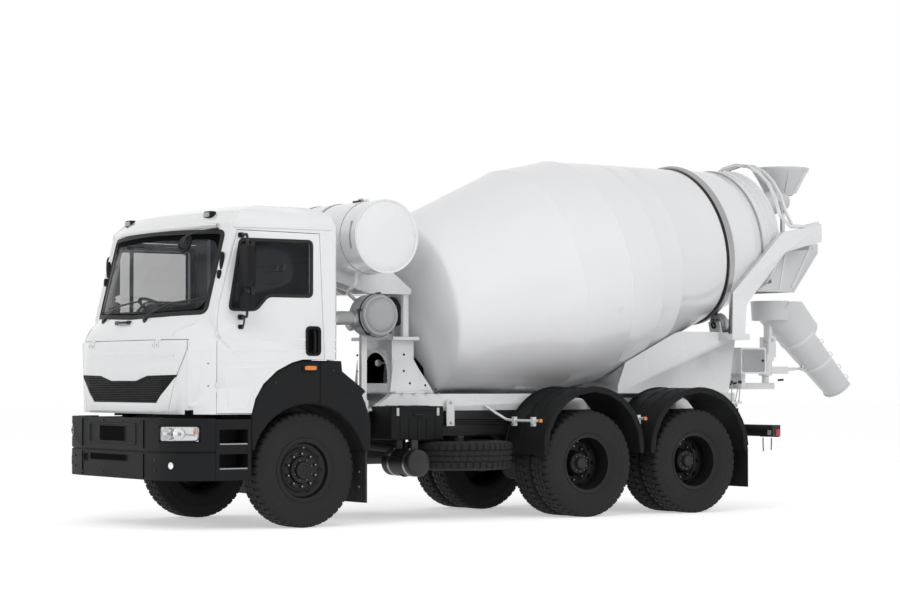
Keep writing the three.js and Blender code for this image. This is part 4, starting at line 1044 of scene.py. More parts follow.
@dataclass
class AirCleaner:
    """The round air cleaner beside the drum's gearbox, with its pipe to the engine."""

    radius: float = 0.2

    def build(self) -> None:
        """Makes the can, its cover, clamp ring and pipes."""
        centre = spot(0.0, 1.05, 1.97)
        piece = Solid("air_cleaner_can")
        r = self.radius
        can = [
            (0.5, 0.0), (0.5, 0.15), (0.505, 0.188), (0.515, 0.198), (0.56, 0.199), (0.564, 0.194),
            (0.572, 0.194),
            (0.576, 0.199), (0.64, 0.2), (0.7, 0.2), (0.704, 0.207), (0.716, 0.209), (0.728, 0.207),
            (0.732, 0.198),
            (0.76, 0.197), (0.772, 0.188), (0.776, 0.172), (0.77, 0.164), (0.778, 0.158), (0.795, 0.14),
            (0.808, 0.105),
            (0.816, 0.062), (0.82, 0.0),
        ]
        # The can and its pipe take a mid grey although they are painted white: painted shade for the shadow
        # behind the cab.
        piece.turned(centre, X_AXIS, can, GREY_AND_SHADED_WHITE, 72)
        piece.turned(
            centre, X_AXIS, [(0.702, 0.2075), (0.706, 0.2115), (0.726, 0.2115), (0.73, 0.2075)], RUBBER, 72
        )
        for k in range(5):
            turn = math.radians(72 * k + 20)
            out = Vector((0.0, math.cos(turn), math.sin(turn)))
            at = centre + X_AXIS * 0.716 + out * 0.205
            clip = ((-0.04, 0.0), (-0.035, 0.012), (0.02, 0.016), (0.034, 0.002))
            wide = (across(out)[0] if abs(out.z) > 0.9 else X_AXIS.cross(out)) * 0.022
            piece.prism([at + X_AXIS * along + out * rise for along, rise in clip], wide, BLACK)
        pipe = spots(
            (0.62, 1.05, 1.94), (0.64, 0.85, 1.94), (0.64, 0.66, 1.94), (0.635, 0.5, 1.92), (0.6, 0.4, 1.8)
        )
        piece.tube(pipe, 0.066, GREY_AND_SHADED_WHITE, 24)
        hose = spots((0.6, 0.402, 1.81), (0.5, 0.385, 1.6), (0.4, 0.385, 1.4), (0.31, 0.39, 1.295))
        piece.tube(hose, 0.064, RUBBER, 24, steps=16, waves=0.05)
        for place, y in ((1.94, 0.8), (1.935, 0.6)):
            piece.turned(
                spot(0.64, y, place), Y_AXIS,
                [(-0.012, 0.066), (-0.012, 0.071), (0.012, 0.071), (0.012, 0.066)], STEEL, 24,
            )
        piece.box(spot(0.426, 1.02, 1.075), spot(0.471, 1.08, 1.97), WHITE)
        piece.box(spot(0.426, 0.99, 1.82), spot(0.512, 1.11, 2.03), WHITE)
        for y, z in ((1.01, 1.85), (1.09, 1.85), (1.01, 2.0), (1.09, 2.0)):
            piece.bolt(spot(0.426, y, z), -X_AXIS, 0.009, ZINC)
        piece.place("chassis", "grey_trim", ["air_cleaner"], bevel=0.0015, angle=30)


# ---------------------------------------------------------------- cab


LEVELS = (
    (1.045, -1.268, -0.96, 1.22, 8.0),
    (1.7, -1.292, -0.96, 1.22, 8.0),
    (1.8, -1.262, -0.968, 1.19, 6.0),
    (1.935, -1.2, -0.985, 1.12, 2.8),
    (2.705, -0.975, -0.8, 1.12, 2.8),
    (2.765, -0.985, -0.8, 1.12, 2.8),
    (2.88, -0.88, -0.69, 1.05, 2.6),
    (2.95, -0.56, -0.42, 0.83, 2.4),
)  # height, front, side, where the front curve ends, and how square it is
STEPS = (0.0, 0.35, 0.6, 0.78, 0.9, 1.0)


def skin(x: float, z: float, off: float = 0.0) -> Vector:
    """A point on the cab's front.

    Args:
        x: Distance to the left of the middle line.
        z: Height above the ground.
        off: How far it stands off the surface.

    Returns:
        The point.
    """

    def line(level: tuple[float, ...]) -> float:
        """How far forward one level's line is at this distance from the middle."""
        _, front, side, flat, power = level
        share = min(abs(x) / flat, 1.0)
        for a, b in zip(STEPS, STEPS[1:]):
            if share <= b:
                part = (share - a) / (b - a)
                return front + (side - front) * (a**power * (1 - part) + b**power * part)
        return side

    z = min(max(z, LEVELS[0][0]), LEVELS[-1][0])
    for low, high in zip(LEVELS, LEVELS[1:]):
        if z <= high[0]:
            part = (z - low[0]) / (high[0] - low[0])
            return spot(x, line(low) * (1 - part) + line(high) * part - off, z)
    return spot(x, line(LEVELS[-1]) - off, z)


def rounded(
    outline: Sequence[Point], radius: float, steps: int = 5, fill: int = 8
) -> list[tuple[float, float]]:
    """An outline with round corners and points along its edges.

    Args:
        outline: Its corners.
        radius: The corners' radius.
        steps: How many parts each corner has.
        fill: How many parts each edge has.

    Returns:
        The new outline.
    """
    corners = [Vector(p) for p in outline]
    made = []
    count = len(corners)
    for i, corner in enumerate(corners):
        before, after = corners[i - 1], corners[(i + 1) % count]
        start = corner + (before - corner).normalized() * min(radius, (before - corner).length * 0.45)
        end = corner + (after - corner).normalized() * min(radius, (after - corner).length * 0.45)
        for k in range(steps + 1):
            t = k / steps
            made.append(start * (1 - t) ** 2 + corner * 2 * t * (1 - t) + end * t * t)
        far = after + (corner - after).normalized() * min(radius, (corner - after).length * 0.45)
        made += [end.lerp(far, k / fill) for k in range(1, fill)]
    return [(p.x, p.y) for p in made]


def drawn_in(outline: Sequence[Point], depth: float) -> list[tuple[float, float]]:
    """An outline moved in by a depth, or out if it is negative."""
    points = [Vector(p) for p in outline]
    area = sum(a.x * b.y - b.x * a.y for a, b in zip(points, points[1:] + points[:1]))
    made = []
    for i, point in enumerate(points):
        a = (point - points[i - 1]).normalized()
        b = (points[(i + 1) % len(points)] - point).normalized()
        across_both = Vector((-(a.y + b.y), a.x + b.x)) * (1 if area > 0 else -1)
        shift = across_both.normalized() * depth / max(0.4, math.sqrt(max(0.16, (1 + a.dot(b)) / 2)))
        made.append(tuple(point + shift))
    return made


Placer = Callable[[float, float, float], Vector]


def band(piece: Solid, place: Placer, lines: Sequence[tuple[Sequence[Point], float]], finish: Finish) -> None:
    """A strip that follows closed outlines on a surface.

    Args:
        piece: The piece that it belongs to.
        place: Gives a point on the surface from two coordinates and a height off it.
        lines: Outlines with the same number of points, each with its height off the surface.
        finish: What it is finished with.
    """
    piece.sheet([[place(a, b, off) for a, b in line] for line, off in lines], finish, closed=True)


def swell(piece: Solid, place: Placer, outline: Sequence[Point], section: Profile, finish: Finish) -> None:
    """A strip along one closed outline on a surface, with a section of its own.

    Args:
        piece: The piece that it belongs to.
        place: Gives a point on the surface from two coordinates and a height off it.
        outline: The outline that it follows.
        section: Pairs of a depth in from the outline and a height off the surface.
        finish: What it is finished with.
    """
    band(piece, place, [(drawn_in(outline, depth), off) for depth, off in section], finish)


def ridge(
    piece: Solid, place: Placer, run: Sequence[float], z: float, section: Profile, finish: Finish
) -> None:
    """A straight raised line along a surface.

    Args:
        piece: The piece that it belongs to.
        place: Gives a point on the surface from two coordinates and a height off it.
        run: The places along the surface that it passes.
        z: Its height above the ground.
        section: Pairs of a step up from that height and a height off the surface.
        finish: What it is finished with.
    """
    piece.sheet([[place(along, z + step, off) for along in run] for step, off in section], finish)


@dataclass
class CabFront:
    """The windscreen's seal and border, wipers, grille, lamps, hinges and pressings of the cab's front."""

    screen: tuple[Point, ...] = (
        (-1.068, 1.968), (0.0, 1.938), (1.068, 1.968), (1.074, 2.684), (0.0, 2.706), (-1.074, 2.684)
    )
    grille_foot: tuple[float, float] = (0.64, 1.145)
    grille_slope: float = 0.75
    grille_top: Profile = ((0.0, 1.345), (0.25, 1.345), (0.48, 1.392), (0.98, 1.4))

    def build(self) -> None:
        """Makes every detail of the front."""
        self._seal()
        self._wipers()
        self._roof_lamps()
        self._corners()
        self._panel()

    def _seal(self) -> None:
        """The rubber seal and the printed border inside it, widened at the top into a band of painted shadow
        under the peak.
        """
        piece = Solid("windscreen_seal")
        edge = rounded(self.screen, 0.05)
        lip = ((0.014, -0.004), (0.01, 0.008), (-0.012, 0.009), (-0.026, 0.006), (-0.029, -0.002))
        swell(piece, skin, edge, lip, RUBBER)
        # The border's inner edge runs much lower at the top than at the sides: the wide top band is painted
        # shadow of the peak, the rest a printed border.
        inner = rounded(
            [(-1.043, 1.99), (0.0, 1.962), (1.043, 1.99), (1.048, 2.622), (0.0, 2.644), (-1.048, 2.622)], 0.14
        )
        band(piece, skin, [(drawn_in(edge, 0.008), -0.012), (inner, -0.0125)], SHADE_AND_SEAM_BLACK)
        peak = ((2.722, 0.001), (2.735, 0.02), (2.752, 0.026), (2.764, 0.016), (2.77, 0.0))
        piece.sheet([[skin(x, z, off) for x in even(-1.02, 1.02, 24)] for z, off in peak], CAB_WHITE)
        piece.place("cab", "dark_plastic")

    def _wipers(self) -> None:
        """Two wipers on their pivots, the handle between them and the kerb mirror."""
        piece = Solid("wipers")
        for x in (-0.61, 0.3):
            foot = skin(x, 1.905, 0.004)
            piece.turned(
                foot, -Y_AXIS, [(-0.03, 0.03), (0.012, 0.028), (0.02, 0.018), (0.024, 0.0)], BLACK, 20
            )
            arm = ((0.0, 1.905, 0.02), (0.1, 1.965, 0.034), (0.34, 2.035, 0.04), (0.5, 2.055, 0.036))
            piece.tube([skin(x + s, z, off) for s, z, off in arm], 0.0075, BLACK, 8)
            blade = ((0.05, 0.022), (0.28, 0.022), (0.52, 0.022), (0.76, 0.022))
            spine = ((0.1, 0.028), (0.26, 0.036), (0.52, 0.04), (0.7, 0.028))
            for line, radius, finish, sides in ((blade, 0.008, RUBBER, 8), (spine, 0.005, BLACK, 6)):
                path = [skin(x + s, 2.028 + 0.075 * (s - 0.05), off) for s, off in line]
                piece.tube(path, radius, finish, sides)
        handle = ((-0.235, -0.01), (-0.215, 0.035), (-0.02, 0.035), (0.0, -0.01))
        piece.tube([skin(x, 1.885, off) for x, off in handle], 0.012, BLACK, 10, steps=3)
        for x in (-0.245, 0.01):
            piece.box(skin(x - 0.022, 1.868, 0.014), skin(x + 0.022, 1.902, -0.012), BLACK)
        self._kerb_mirror(piece)
        piece.place("cab", "black_paint", bevel=0.002)

    def _kerb_mirror(self, piece: Solid) -> None:
        """The round kerb mirror that hangs over the near corner of the screen."""
        arm = [skin(1.02, 2.72, 0.0), skin(0.98, 2.7, 0.1), skin(0.86, 2.66, 0.16), skin(0.8, 2.6, 0.14)]
        piece.tube(arm, 0.01, BLACK, 10)
        centre = skin(0.79, 2.585, 0.12)
        turns = even(0.0, math.tau, 32)
        ring = [
            centre + Vector((0.105 * math.cos(a), 0.02 * math.sin(a), 0.068 * math.sin(a))) for a in turns
        ]
        piece.tube(ring, 0.012, PLASTIC, 10, steps=1)
        piece.ball(centre + Y_AXIS * 0.004, (0.1, 0.022, 0.064), PLASTIC, 2.4)

    def _roof_lamps(self) -> None:
        """Marker lamps above the screen."""
        piece = Solid("roof_marker_lamps")
        for x in (-0.8, 0.8):
            base = skin(x, 2.856, 0.0)
            piece.ball(base, (0.07, 0.038, 0.034), PLASTIC, 5)
            piece.ball(base - Y_AXIS * 0.012, (0.056, 0.036, 0.023), SMOKE, 5)
        piece.place("cab", "dark_plastic", angle=32)

    def _corners(self) -> None:
        """The small lamps on the screen pillars, screws and pressings of the corner panels."""
        piece = Solid("corner_details")
        for z, height in ((2.42, 0.085), (2.3, 0.04)):
            piece.ball(skin(1.15, z, 0.006), (0.026, 0.02, height), PLASTIC, 3)
        for z in (1.5, 1.3):
            piece.bolt(skin(1.176, z, 0.0), Vector((0.5, -0.8, 0.0)), 0.006, BLACK)
        line = rounded([(1.065, 1.1), (1.165, 1.16), (1.165, 1.64), (1.065, 1.62)], 0.06)
        press = (
            (-0.022, -0.0005), (-0.01, 0.006), (0.0, 0.01), (0.01, 0.008), (0.022, 0.002), (0.03, -0.0005)
        )
        swell(piece, skin, line, press, CAB_WHITE)
        crease = (
            (1.075, 1.905, -0.006), (1.03, 1.868, 0.001), (0.955, 1.825, 0.002), (0.89, 1.775, 0.002),
            (0.868, 1.735, -0.004),
        )
        piece.tube([skin(*place) for place in crease], 0.009, CAB_WHITE, 12, steps=4)
        piece.mirrored()
        piece.place("cab", "white_paint")

    def _panel(self) -> None:
        """The lifting panel's grille, crease and hinge straps."""
        piece = Solid("front_panel_details")
        half = [self.grille_foot, *reversed(self.grille_top[1:])]
        grille = [(-x, z) for x, z in half[:1]] + half + [(-x, z) for x, z in reversed(half[1:])]
        # A near-black sheet just behind the grille: painted shade for the dark space behind the bars.
        rows = []
        for share in (0.0, 0.5, 1.0):
            limits = [(x, *self._limits(x)) for x in even(-0.975, 0.975, 60)]
            rows.append([skin(x, low + (high - low) * share, -0.0105) for x, low, high in limits])
        piece.sheet(rows, SHADE_AND_SEAM_BLACK)
        swell(
            piece, skin, grille, ((0.003, -0.011), (0.003, 0.002), (0.016, 0.001), (0.018, -0.011)), PLASTIC
        )
        self._mesh(piece)
        crease = ((-0.016, -0.0005), (-0.006, 0.0045), (0.004, 0.0045), (0.006, -0.0005))
        ridge(piece, skin, even(-0.94, 0.94, 30), 1.575, crease, CAB_WHITE)
        for x in (-0.66, 0.66):
            for dx in (-0.055, 0.02):
                piece.box(skin(x + dx, 1.65, 0.01), skin(x + dx + 0.04, 1.706, -0.004), CAB_WHITE)
                piece.bolt(skin(x + dx + 0.02, 1.668, 0.01), -Y_AXIS, 0.006, ZINC)
        piece.place("bonnet_panel", "white_paint")

    def _limits(self, x: float) -> tuple[float, float]:
        """The grille's lower and upper edge at a distance from the middle."""
        x = abs(x)
        wide, foot = self.grille_foot
        low = foot if x <= wide else foot + (x - wide) * self.grille_slope
        for a, b in zip(self.grille_top, self.grille_top[1:]):
            if x <= b[0]:
                return low, a[1] + (b[1] - a[1]) * (x - a[0]) / (b[0] - a[0])
        return low, self.grille_top[-1][1]

    def _mesh(self, piece: Solid) -> None:
        """The grille's bars and its mesh."""
        for k in range(-62, 63):
            x = k * 0.0155
            low, high = self._limits(x)
            if high - low > 0.02:
                piece.tube([skin(x, low, -0.006), skin(x, high, -0.006)], 0.0022, BLACK, 4, steps=0)
        for z in [1.16 + 0.0165 * k for k in range(15)]:
            reach = [x / 100 for x in range(99) if self._limits(x / 100)[0] < z < self._limits(x / 100)[1]]
            if reach:
                for sign in (-1, 1):
                    run = even(reach[0], reach[-1], 8)
                    piece.tube([skin(sign * x, z, -0.005) for x in run], 0.0022, BLACK, 4, steps=0)


@dataclass
class CabSide:
    """One side of the cab: the door's pressings, seal, handle and lining, and the gutter."""

    side: str
    sign: int
    window: tuple[Point, ...] = (
        (-0.836, 1.985), (-0.56, 1.985), (-0.44, 2.115), (0.02, 2.115), (0.02, 2.62), (-0.728, 2.62)
    )

    def at(self, y: float, z: float, off: float = 0.0) -> Vector:
        """A point on this side of the cab."""
        return spot(self.sign * (1.22 + off), y, z)

    def build(self) -> None:
        """Makes the door's details and those of the shell beside it."""
        self._door()
        self._shell()

    def _door(self) -> None:
        """Everything that moves with the door."""
        piece = Solid(f"door_details_{self.side}")
        edge = rounded(self.window, 0.045, fill=5)
        lip = ((0.016, -0.012), (0.015, 0.004), (0.004, 0.006), (-0.01, 0.006), (-0.014, 0.0))
        swell(piece, self.at, edge, lip, RUBBER)
        post = [
            self.at(y, z, -0.012) for y, z in ((-0.615, 2.0), (-0.578, 2.0), (-0.578, 2.605), (-0.615, 2.605))
        ]
        piece.prism(post, X_AXIS * self.sign * 0.014, RUBBER)
        crease = ((-0.01, 0.0), (-0.003, 0.0032), (0.004, 0.0032), (0.008, 0.0))
        for z, back in ((1.72, -0.03), (1.62, -0.03), (1.52, -0.27)):
            ridge(piece, self.at, even(-0.93, back, 6), z, crease, CAB_WHITE)
        press = [(-0.85, 1.1), (-0.66, 1.1), (-0.62, 1.23), (-0.52, 1.36), (-0.4, 1.46), (-0.85, 1.46)]
        rise = ((-0.012, 0.0), (-0.003, 0.0035), (0.004, 0.0035), (0.014, 0.0))
        swell(piece, self.at, rounded(press, 0.04, fill=3), rise, CAB_WHITE)
        self._handle(piece)
        card = [(-0.915, 1.55), (-0.56, 1.55), (-0.3, 1.55), (0.12, 1.55), (0.075, 2.66), (-0.745, 2.665)]
        line = rounded(card, 0.02, fill=5)
        band(piece, self.at, [(drawn_in(edge, -0.012), -0.0565), (line, -0.0565)], GREY_PLASTIC)
        piece.place(f"door_{self.side}_body", "white_paint")

    def _handle(self, piece: Solid) -> None:
        """The tall pull handle in its black cup, with the lock below it."""
        cup = rounded([(-0.045, 1.572), (0.118, 1.572), (0.118, 1.845), (-0.045, 1.845)], 0.05, fill=2)
        swell(
            piece, self.at, cup, ((0, 0), (0.004, 0.012), (0.014, 0.014), (0.024, 0.003), (0.03, 0.002)),
            PLASTIC,
        )
        # A near-black flat inside the cup: painted shade for the cup's hollow.
        piece.flat([self.at(y, z, 0.002) for y, z in drawn_in(cup, 0.03)], SHADE_AND_SEAM_BLACK)
        grip = ((1.6, 0.004), (1.63, 0.02), (1.76, 0.022), (1.8, 0.006))
        piece.tube([self.at(0.04, z, off) for z, off in grip], 0.013, PLASTIC, 10)
        piece.turned(
            self.at(0.04, 1.612, 0.004), X_AXIS * self.sign, [(0, 0.012), (0.008, 0.011), (0.008, 0.0)], ZINC,
            14,
        )

    def _shell(self) -> None:
        """The gutter, and the pressed lines and screws behind the door."""
        piece = Solid(f"cab_side_details_{self.side}")
        gutter = [
            self.at(y, z, 0.004) for y, z in ((-0.795, 2.73), (-0.4, 2.735), (0.0, 2.735), (0.22, 2.733))
        ]
        piece.tube(gutter, 0.009, CAB_WHITE, 8)
        for z in (1.72, 1.62):
            crease = ((-0.01, 0.0), (-0.003, 0.003), (0.004, 0.003), (0.008, 0.0))
            ridge(piece, self.at, (0.17, 0.23, 0.288), z, crease, CAB_WHITE)
        for z in (2.62, 1.86, 1.66):
            piece.bolt(self.at(0.27, z), X_AXIS * self.sign, 0.006, CAB_WHITE)
        piece.place("cab", "white_paint")


@dataclass
class Mirrors:
    """The door mirrors with their arms, housings and glasses."""

    side: str
    sign: int
    plane: float = -0.725
    edge: float = 1.45
    arm: Profile = (
        (1.222, 2.655), (1.3, 2.655), (1.345, 2.62), (1.345, 2.3), (1.345, 1.96), (1.31, 1.917),
        (1.222, 1.917),
    )
    heads: tuple[Point, ...] = ((2.17, 2.57, 1.262), (1.965, 2.12, 1.255))

    def build(self) -> None:
        """Makes the mirror of one side."""
        piece = Solid(f"mirror_head_{self.side}")
        arm = [self._at(x, z) for x, z in self.arm]
        piece.tube(arm, 0.0125, BLACK, 12, steps=5)
        for z in (2.655, 1.917):
            piece.ball(self._at(1.232, z), (0.013, 0.03, 0.024), PLASTIC, 4)
        foot = [self._at(x, z) for x, z in ((1.222, 1.83), (1.262, 1.83), (1.285, 1.86), (1.3, 1.93))]
        piece.tube(foot, 0.009, BLACK, 10)
        piece.ball(self._at(1.232, 1.83), (0.014, 0.026, 0.02), PLASTIC, 4)
        for low, high, inside in self.heads:
            half, reach = (high - low) / 2, (self.edge - inside) / 2
            head = self._at((self.edge + inside) / 2, (low + high) / 2, -0.008)
            self._head(piece, head, half, reach)
        piece.ball(self._at(1.345, 2.145), (0.02, 0.02, 0.018), BLACK, 3)
        piece.place(f"door_{self.side}_body", "dark_plastic", [f"mirror_{self.side}"])

    def _at(self, x: float, z: float, back: float = 0.0) -> Vector:
        """A point in the mirror arm's plane, or that far behind it."""
        return spot(self.sign * x, self.plane + back, z)

    @staticmethod
    def _head(piece: Solid, head: Vector, half: float, reach: float) -> None:
        """One mirror's housing, its glass and the lip round it.

        Args:
            piece: The piece that it belongs to.
            head: Its middle.
            half: Half its height.
            reach: Half its width.
        """
        piece.ball(head, (reach, 0.037, half), PLASTIC, 5, 32)
        x, z = reach - 0.012, half - 0.012
        glass = rounded([(-x, -z), (x, -z), (x, z), (-x, z)], 0.03, fill=2)

        def behind(a: float, b: float, off: float) -> Vector:
            """A point on the housing's back."""
            return head + Vector((a, off, b))

        piece.flat([behind(a, b, 0.0375) for a, b in drawn_in(glass, 0.008)], MIRROR)
        swell(piece, behind, glass, ((0.0, 0.03), (0.0, 0.041), (0.008, 0.041), (0.008, 0.036)), PLASTIC)


@dataclass
class CabInside:
    """The seats, the steering wheel and the dashboard's details."""

    def build(self) -> None:
        """Makes everything that shows through the glass."""
        for node in ("seat_driver", "seat_passenger"):
            self._seat(node)
        self._steering_wheel()
        self._dash()
        self._lining()

    def _lining(self) -> None:
        """The dark lining of the rear wall, roof and floor."""
        piece = Solid("cab_lining")
        wall = [[spot(x, 0.235, z) for x in (-1.13, -0.5, 0.0, 0.5, 1.13)] for z in (1.62, 2.2, 2.8)]
        piece.sheet(wall, GREY_PLASTIC)
        wide = (-1.05, -0.6, 0.0, 0.6, 1.05)
        roof = [[spot(x, y, z) for x in wide] for y, z in ((-0.3, 2.845), (0.23, 2.8))]
        piece.sheet([[skin(x, 2.8, -0.06) for x in wide], *roof], GREY_PLASTIC)
        floor = [[spot(x, y, 1.6) for x in (-1.12, 0.0, 1.12)] for y in (-0.6, 0.23)]
        piece.sheet(floor, RUBBER)
        for z in (2.0, 2.45):
            piece.tube(
                spots((-1.0, 0.225, z), (0.0, 0.222, z), (1.0, 0.225, z)), 0.008, GREY_PLASTIC, 6, steps=0
            )
        piece.place("cab", "grey_trim")

    def _seat(self, node: str) -> None:
        """One padded seat with a headrest."""
        low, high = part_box(node)
        centre = (low + high) / 2
        wide = (high.x - low.x) / 2
        piece = Solid(node + "_cushions")
        cushion = Vector((centre.x, low.y + 0.27, low.z + 0.32))
        piece.ball(cushion, (wide * 0.98, 0.26, 0.075), CLOTH, 3.6, 40)
        for side in (-1, 1):
            piece.ball(
                cushion + X_AXIS * side * wide * 0.82 + Z_AXIS * 0.03, (wide * 0.16, 0.24, 0.06), CLOTH, 3.0,
                24,
            )
        lean = Matrix.Rotation(math.radians(-14), 4, "X")
        back_low = Vector((centre.x, high.y - 0.24, low.z + 0.4))

        def against(x: float, y: float, z: float) -> Vector:
            """A point of the backrest before it leans, turned with it."""
            return back_low + lean @ Vector((x, y, z))

        reach = high.z - low.z - 0.44
        for x, w, off in (
            (0.0, wide * 0.7, 0.0), (-wide * 0.8, wide * 0.18, -0.03), (wide * 0.8, wide * 0.18, -0.03)
        ):
            self._leaning_block(piece, against, (x, off, reach * 0.4), (w, 0.065, reach * 0.43))
        self._leaning_block(piece, against, (0.0, 0.0, reach * 0.9), (wide * 0.48, 0.05, reach * 0.105))
        for x in (-0.06, 0.06):
            piece.tube(
                [against(x, 0.0, reach * 0.76), against(x, 0.0, reach * 0.86)], 0.007, STEEL, 8, steps=0
            )
        for z in (0.22, 0.48, 0.7):
            seam = [against(wide * 0.66 * k / 4, -0.064 + 0.01 * abs(k) / 4, reach * z) for k in range(-4, 5)]
            piece.tube(seam, 0.003, SHADE_AND_SEAM_BLACK, 5, steps=2)
        base = Vector((centre.x, low.y + 0.28, low.z))
        piece.box(base + Vector((-wide * 0.75, -0.2, 0.0)), base + Vector((wide * 0.75, 0.22, 0.06)), PLASTIC)
        for k in range(4):
            step = base + Z_AXIS * (0.08 + 0.045 * k)
            piece.ball(step, (wide * 0.55, 0.17, 0.026), RUBBER, 5)
        piece.place("cab", "seat_cloth", [node], angle=50)

    @staticmethod
    def _leaning_block(piece: Solid, against: Placer, at: Point, reach: Point) -> None:
        """A crowned cushion in the backrest's own leaning frame.

        Args:
            piece: The piece that it belongs to.
            against: Gives a point of the leaning backrest from one of the upright backrest.
            at: The cushion's middle on the upright backrest.
            reach: Half its size along each axis.
        """
        shape = Solid("shape")
        shape.ball(at, reach, CLOTH, 3.4, 32)
        shape.mesh.verts.ensure_lookup_table()
        places = [against(*corner.co) for corner in shape.mesh.verts]
        faces = [tuple(corner.index for corner in face.verts) for face in shape.mesh.faces]
        shape.mesh.free()
        piece.faces(places, faces, CLOTH)

    def _steering_wheel(self) -> None:
        """The wheel's rim, spokes, hub and column cover."""
        piece = Solid("steering_wheel_rim")
        centre = spot(-0.56, -0.62, 2.02)
        axis = Vector((0.0, math.sin(math.radians(30)), math.cos(math.radians(30))))
        u, v = across(axis)
        rim = [centre + (u * math.cos(a) + v * math.sin(a)) * 0.218 for a in even(0.0, math.tau, 48)]
        piece.tube(rim, 0.015, GREY_PLASTIC, 12, steps=1)
        for turn in (30, 150, 210, 330):
            out = u * math.cos(math.radians(turn)) + v * math.sin(math.radians(turn))
            spoke = [
                centre - axis * down + out * far for down, far in ((0.045, 0.05), (0.03, 0.12), (0.0, 0.21))
            ]
            piece.tube(spoke, 0.011, PLASTIC, 8)
        piece.turned(
            centre - axis * 0.06, axis, [(0, 0.0), (0, 0.07), (0.03, 0.085), (0.045, 0.07), (0.05, 0.0)],
            PLASTIC, 28,
        )
        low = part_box("steering_wheel")[0]
        reach = (centre.z - low.z) / axis.z
        piece.tube([centre - axis * 0.02, centre - axis * reach], 0.022, PLASTIC, 14, steps=0)
        piece.place("steering_wheel_body", "dark_plastic", ["steering_wheel"])

    def _dash(self) -> None:
        """The instrument hood, vents and glove box line on the dashboard."""
        piece = Solid("dashboard_details")
        hood = spot(-0.56, -0.9, 1.965)
        piece.ball(hood, (0.24, 0.09, 0.035), PLASTIC, 4, 32)
        for x in (-0.9, -0.15, 0.15, 0.85):
            piece.ball(spot(x, -0.8, 1.89), (0.06, 0.02, 0.03), PLASTIC, 5)
        piece.ball(spot(0.0, -0.79, 1.78), (0.13, 0.016, 0.05), SHADE_AND_SEAM_BLACK, 6)
        piece.ball(spot(0.6, -0.795, 1.77), (0.26, 0.012, 0.06), GREY_PLASTIC, 8)
        piece.place("cab", "grey_trim")


@dataclass
class Cab:
    """The whole cab with its doors."""

    def build(self) -> None:
        """Makes the front, both sides, the mirrors and the inside."""
        CabFront().build()
        for side, sign in SIDES:
            CabSide(side, sign).build()
            Mirrors(side, sign).build()
        CabInside().build()


# ---------------------------------------------------------------- bumper, guards and chassis


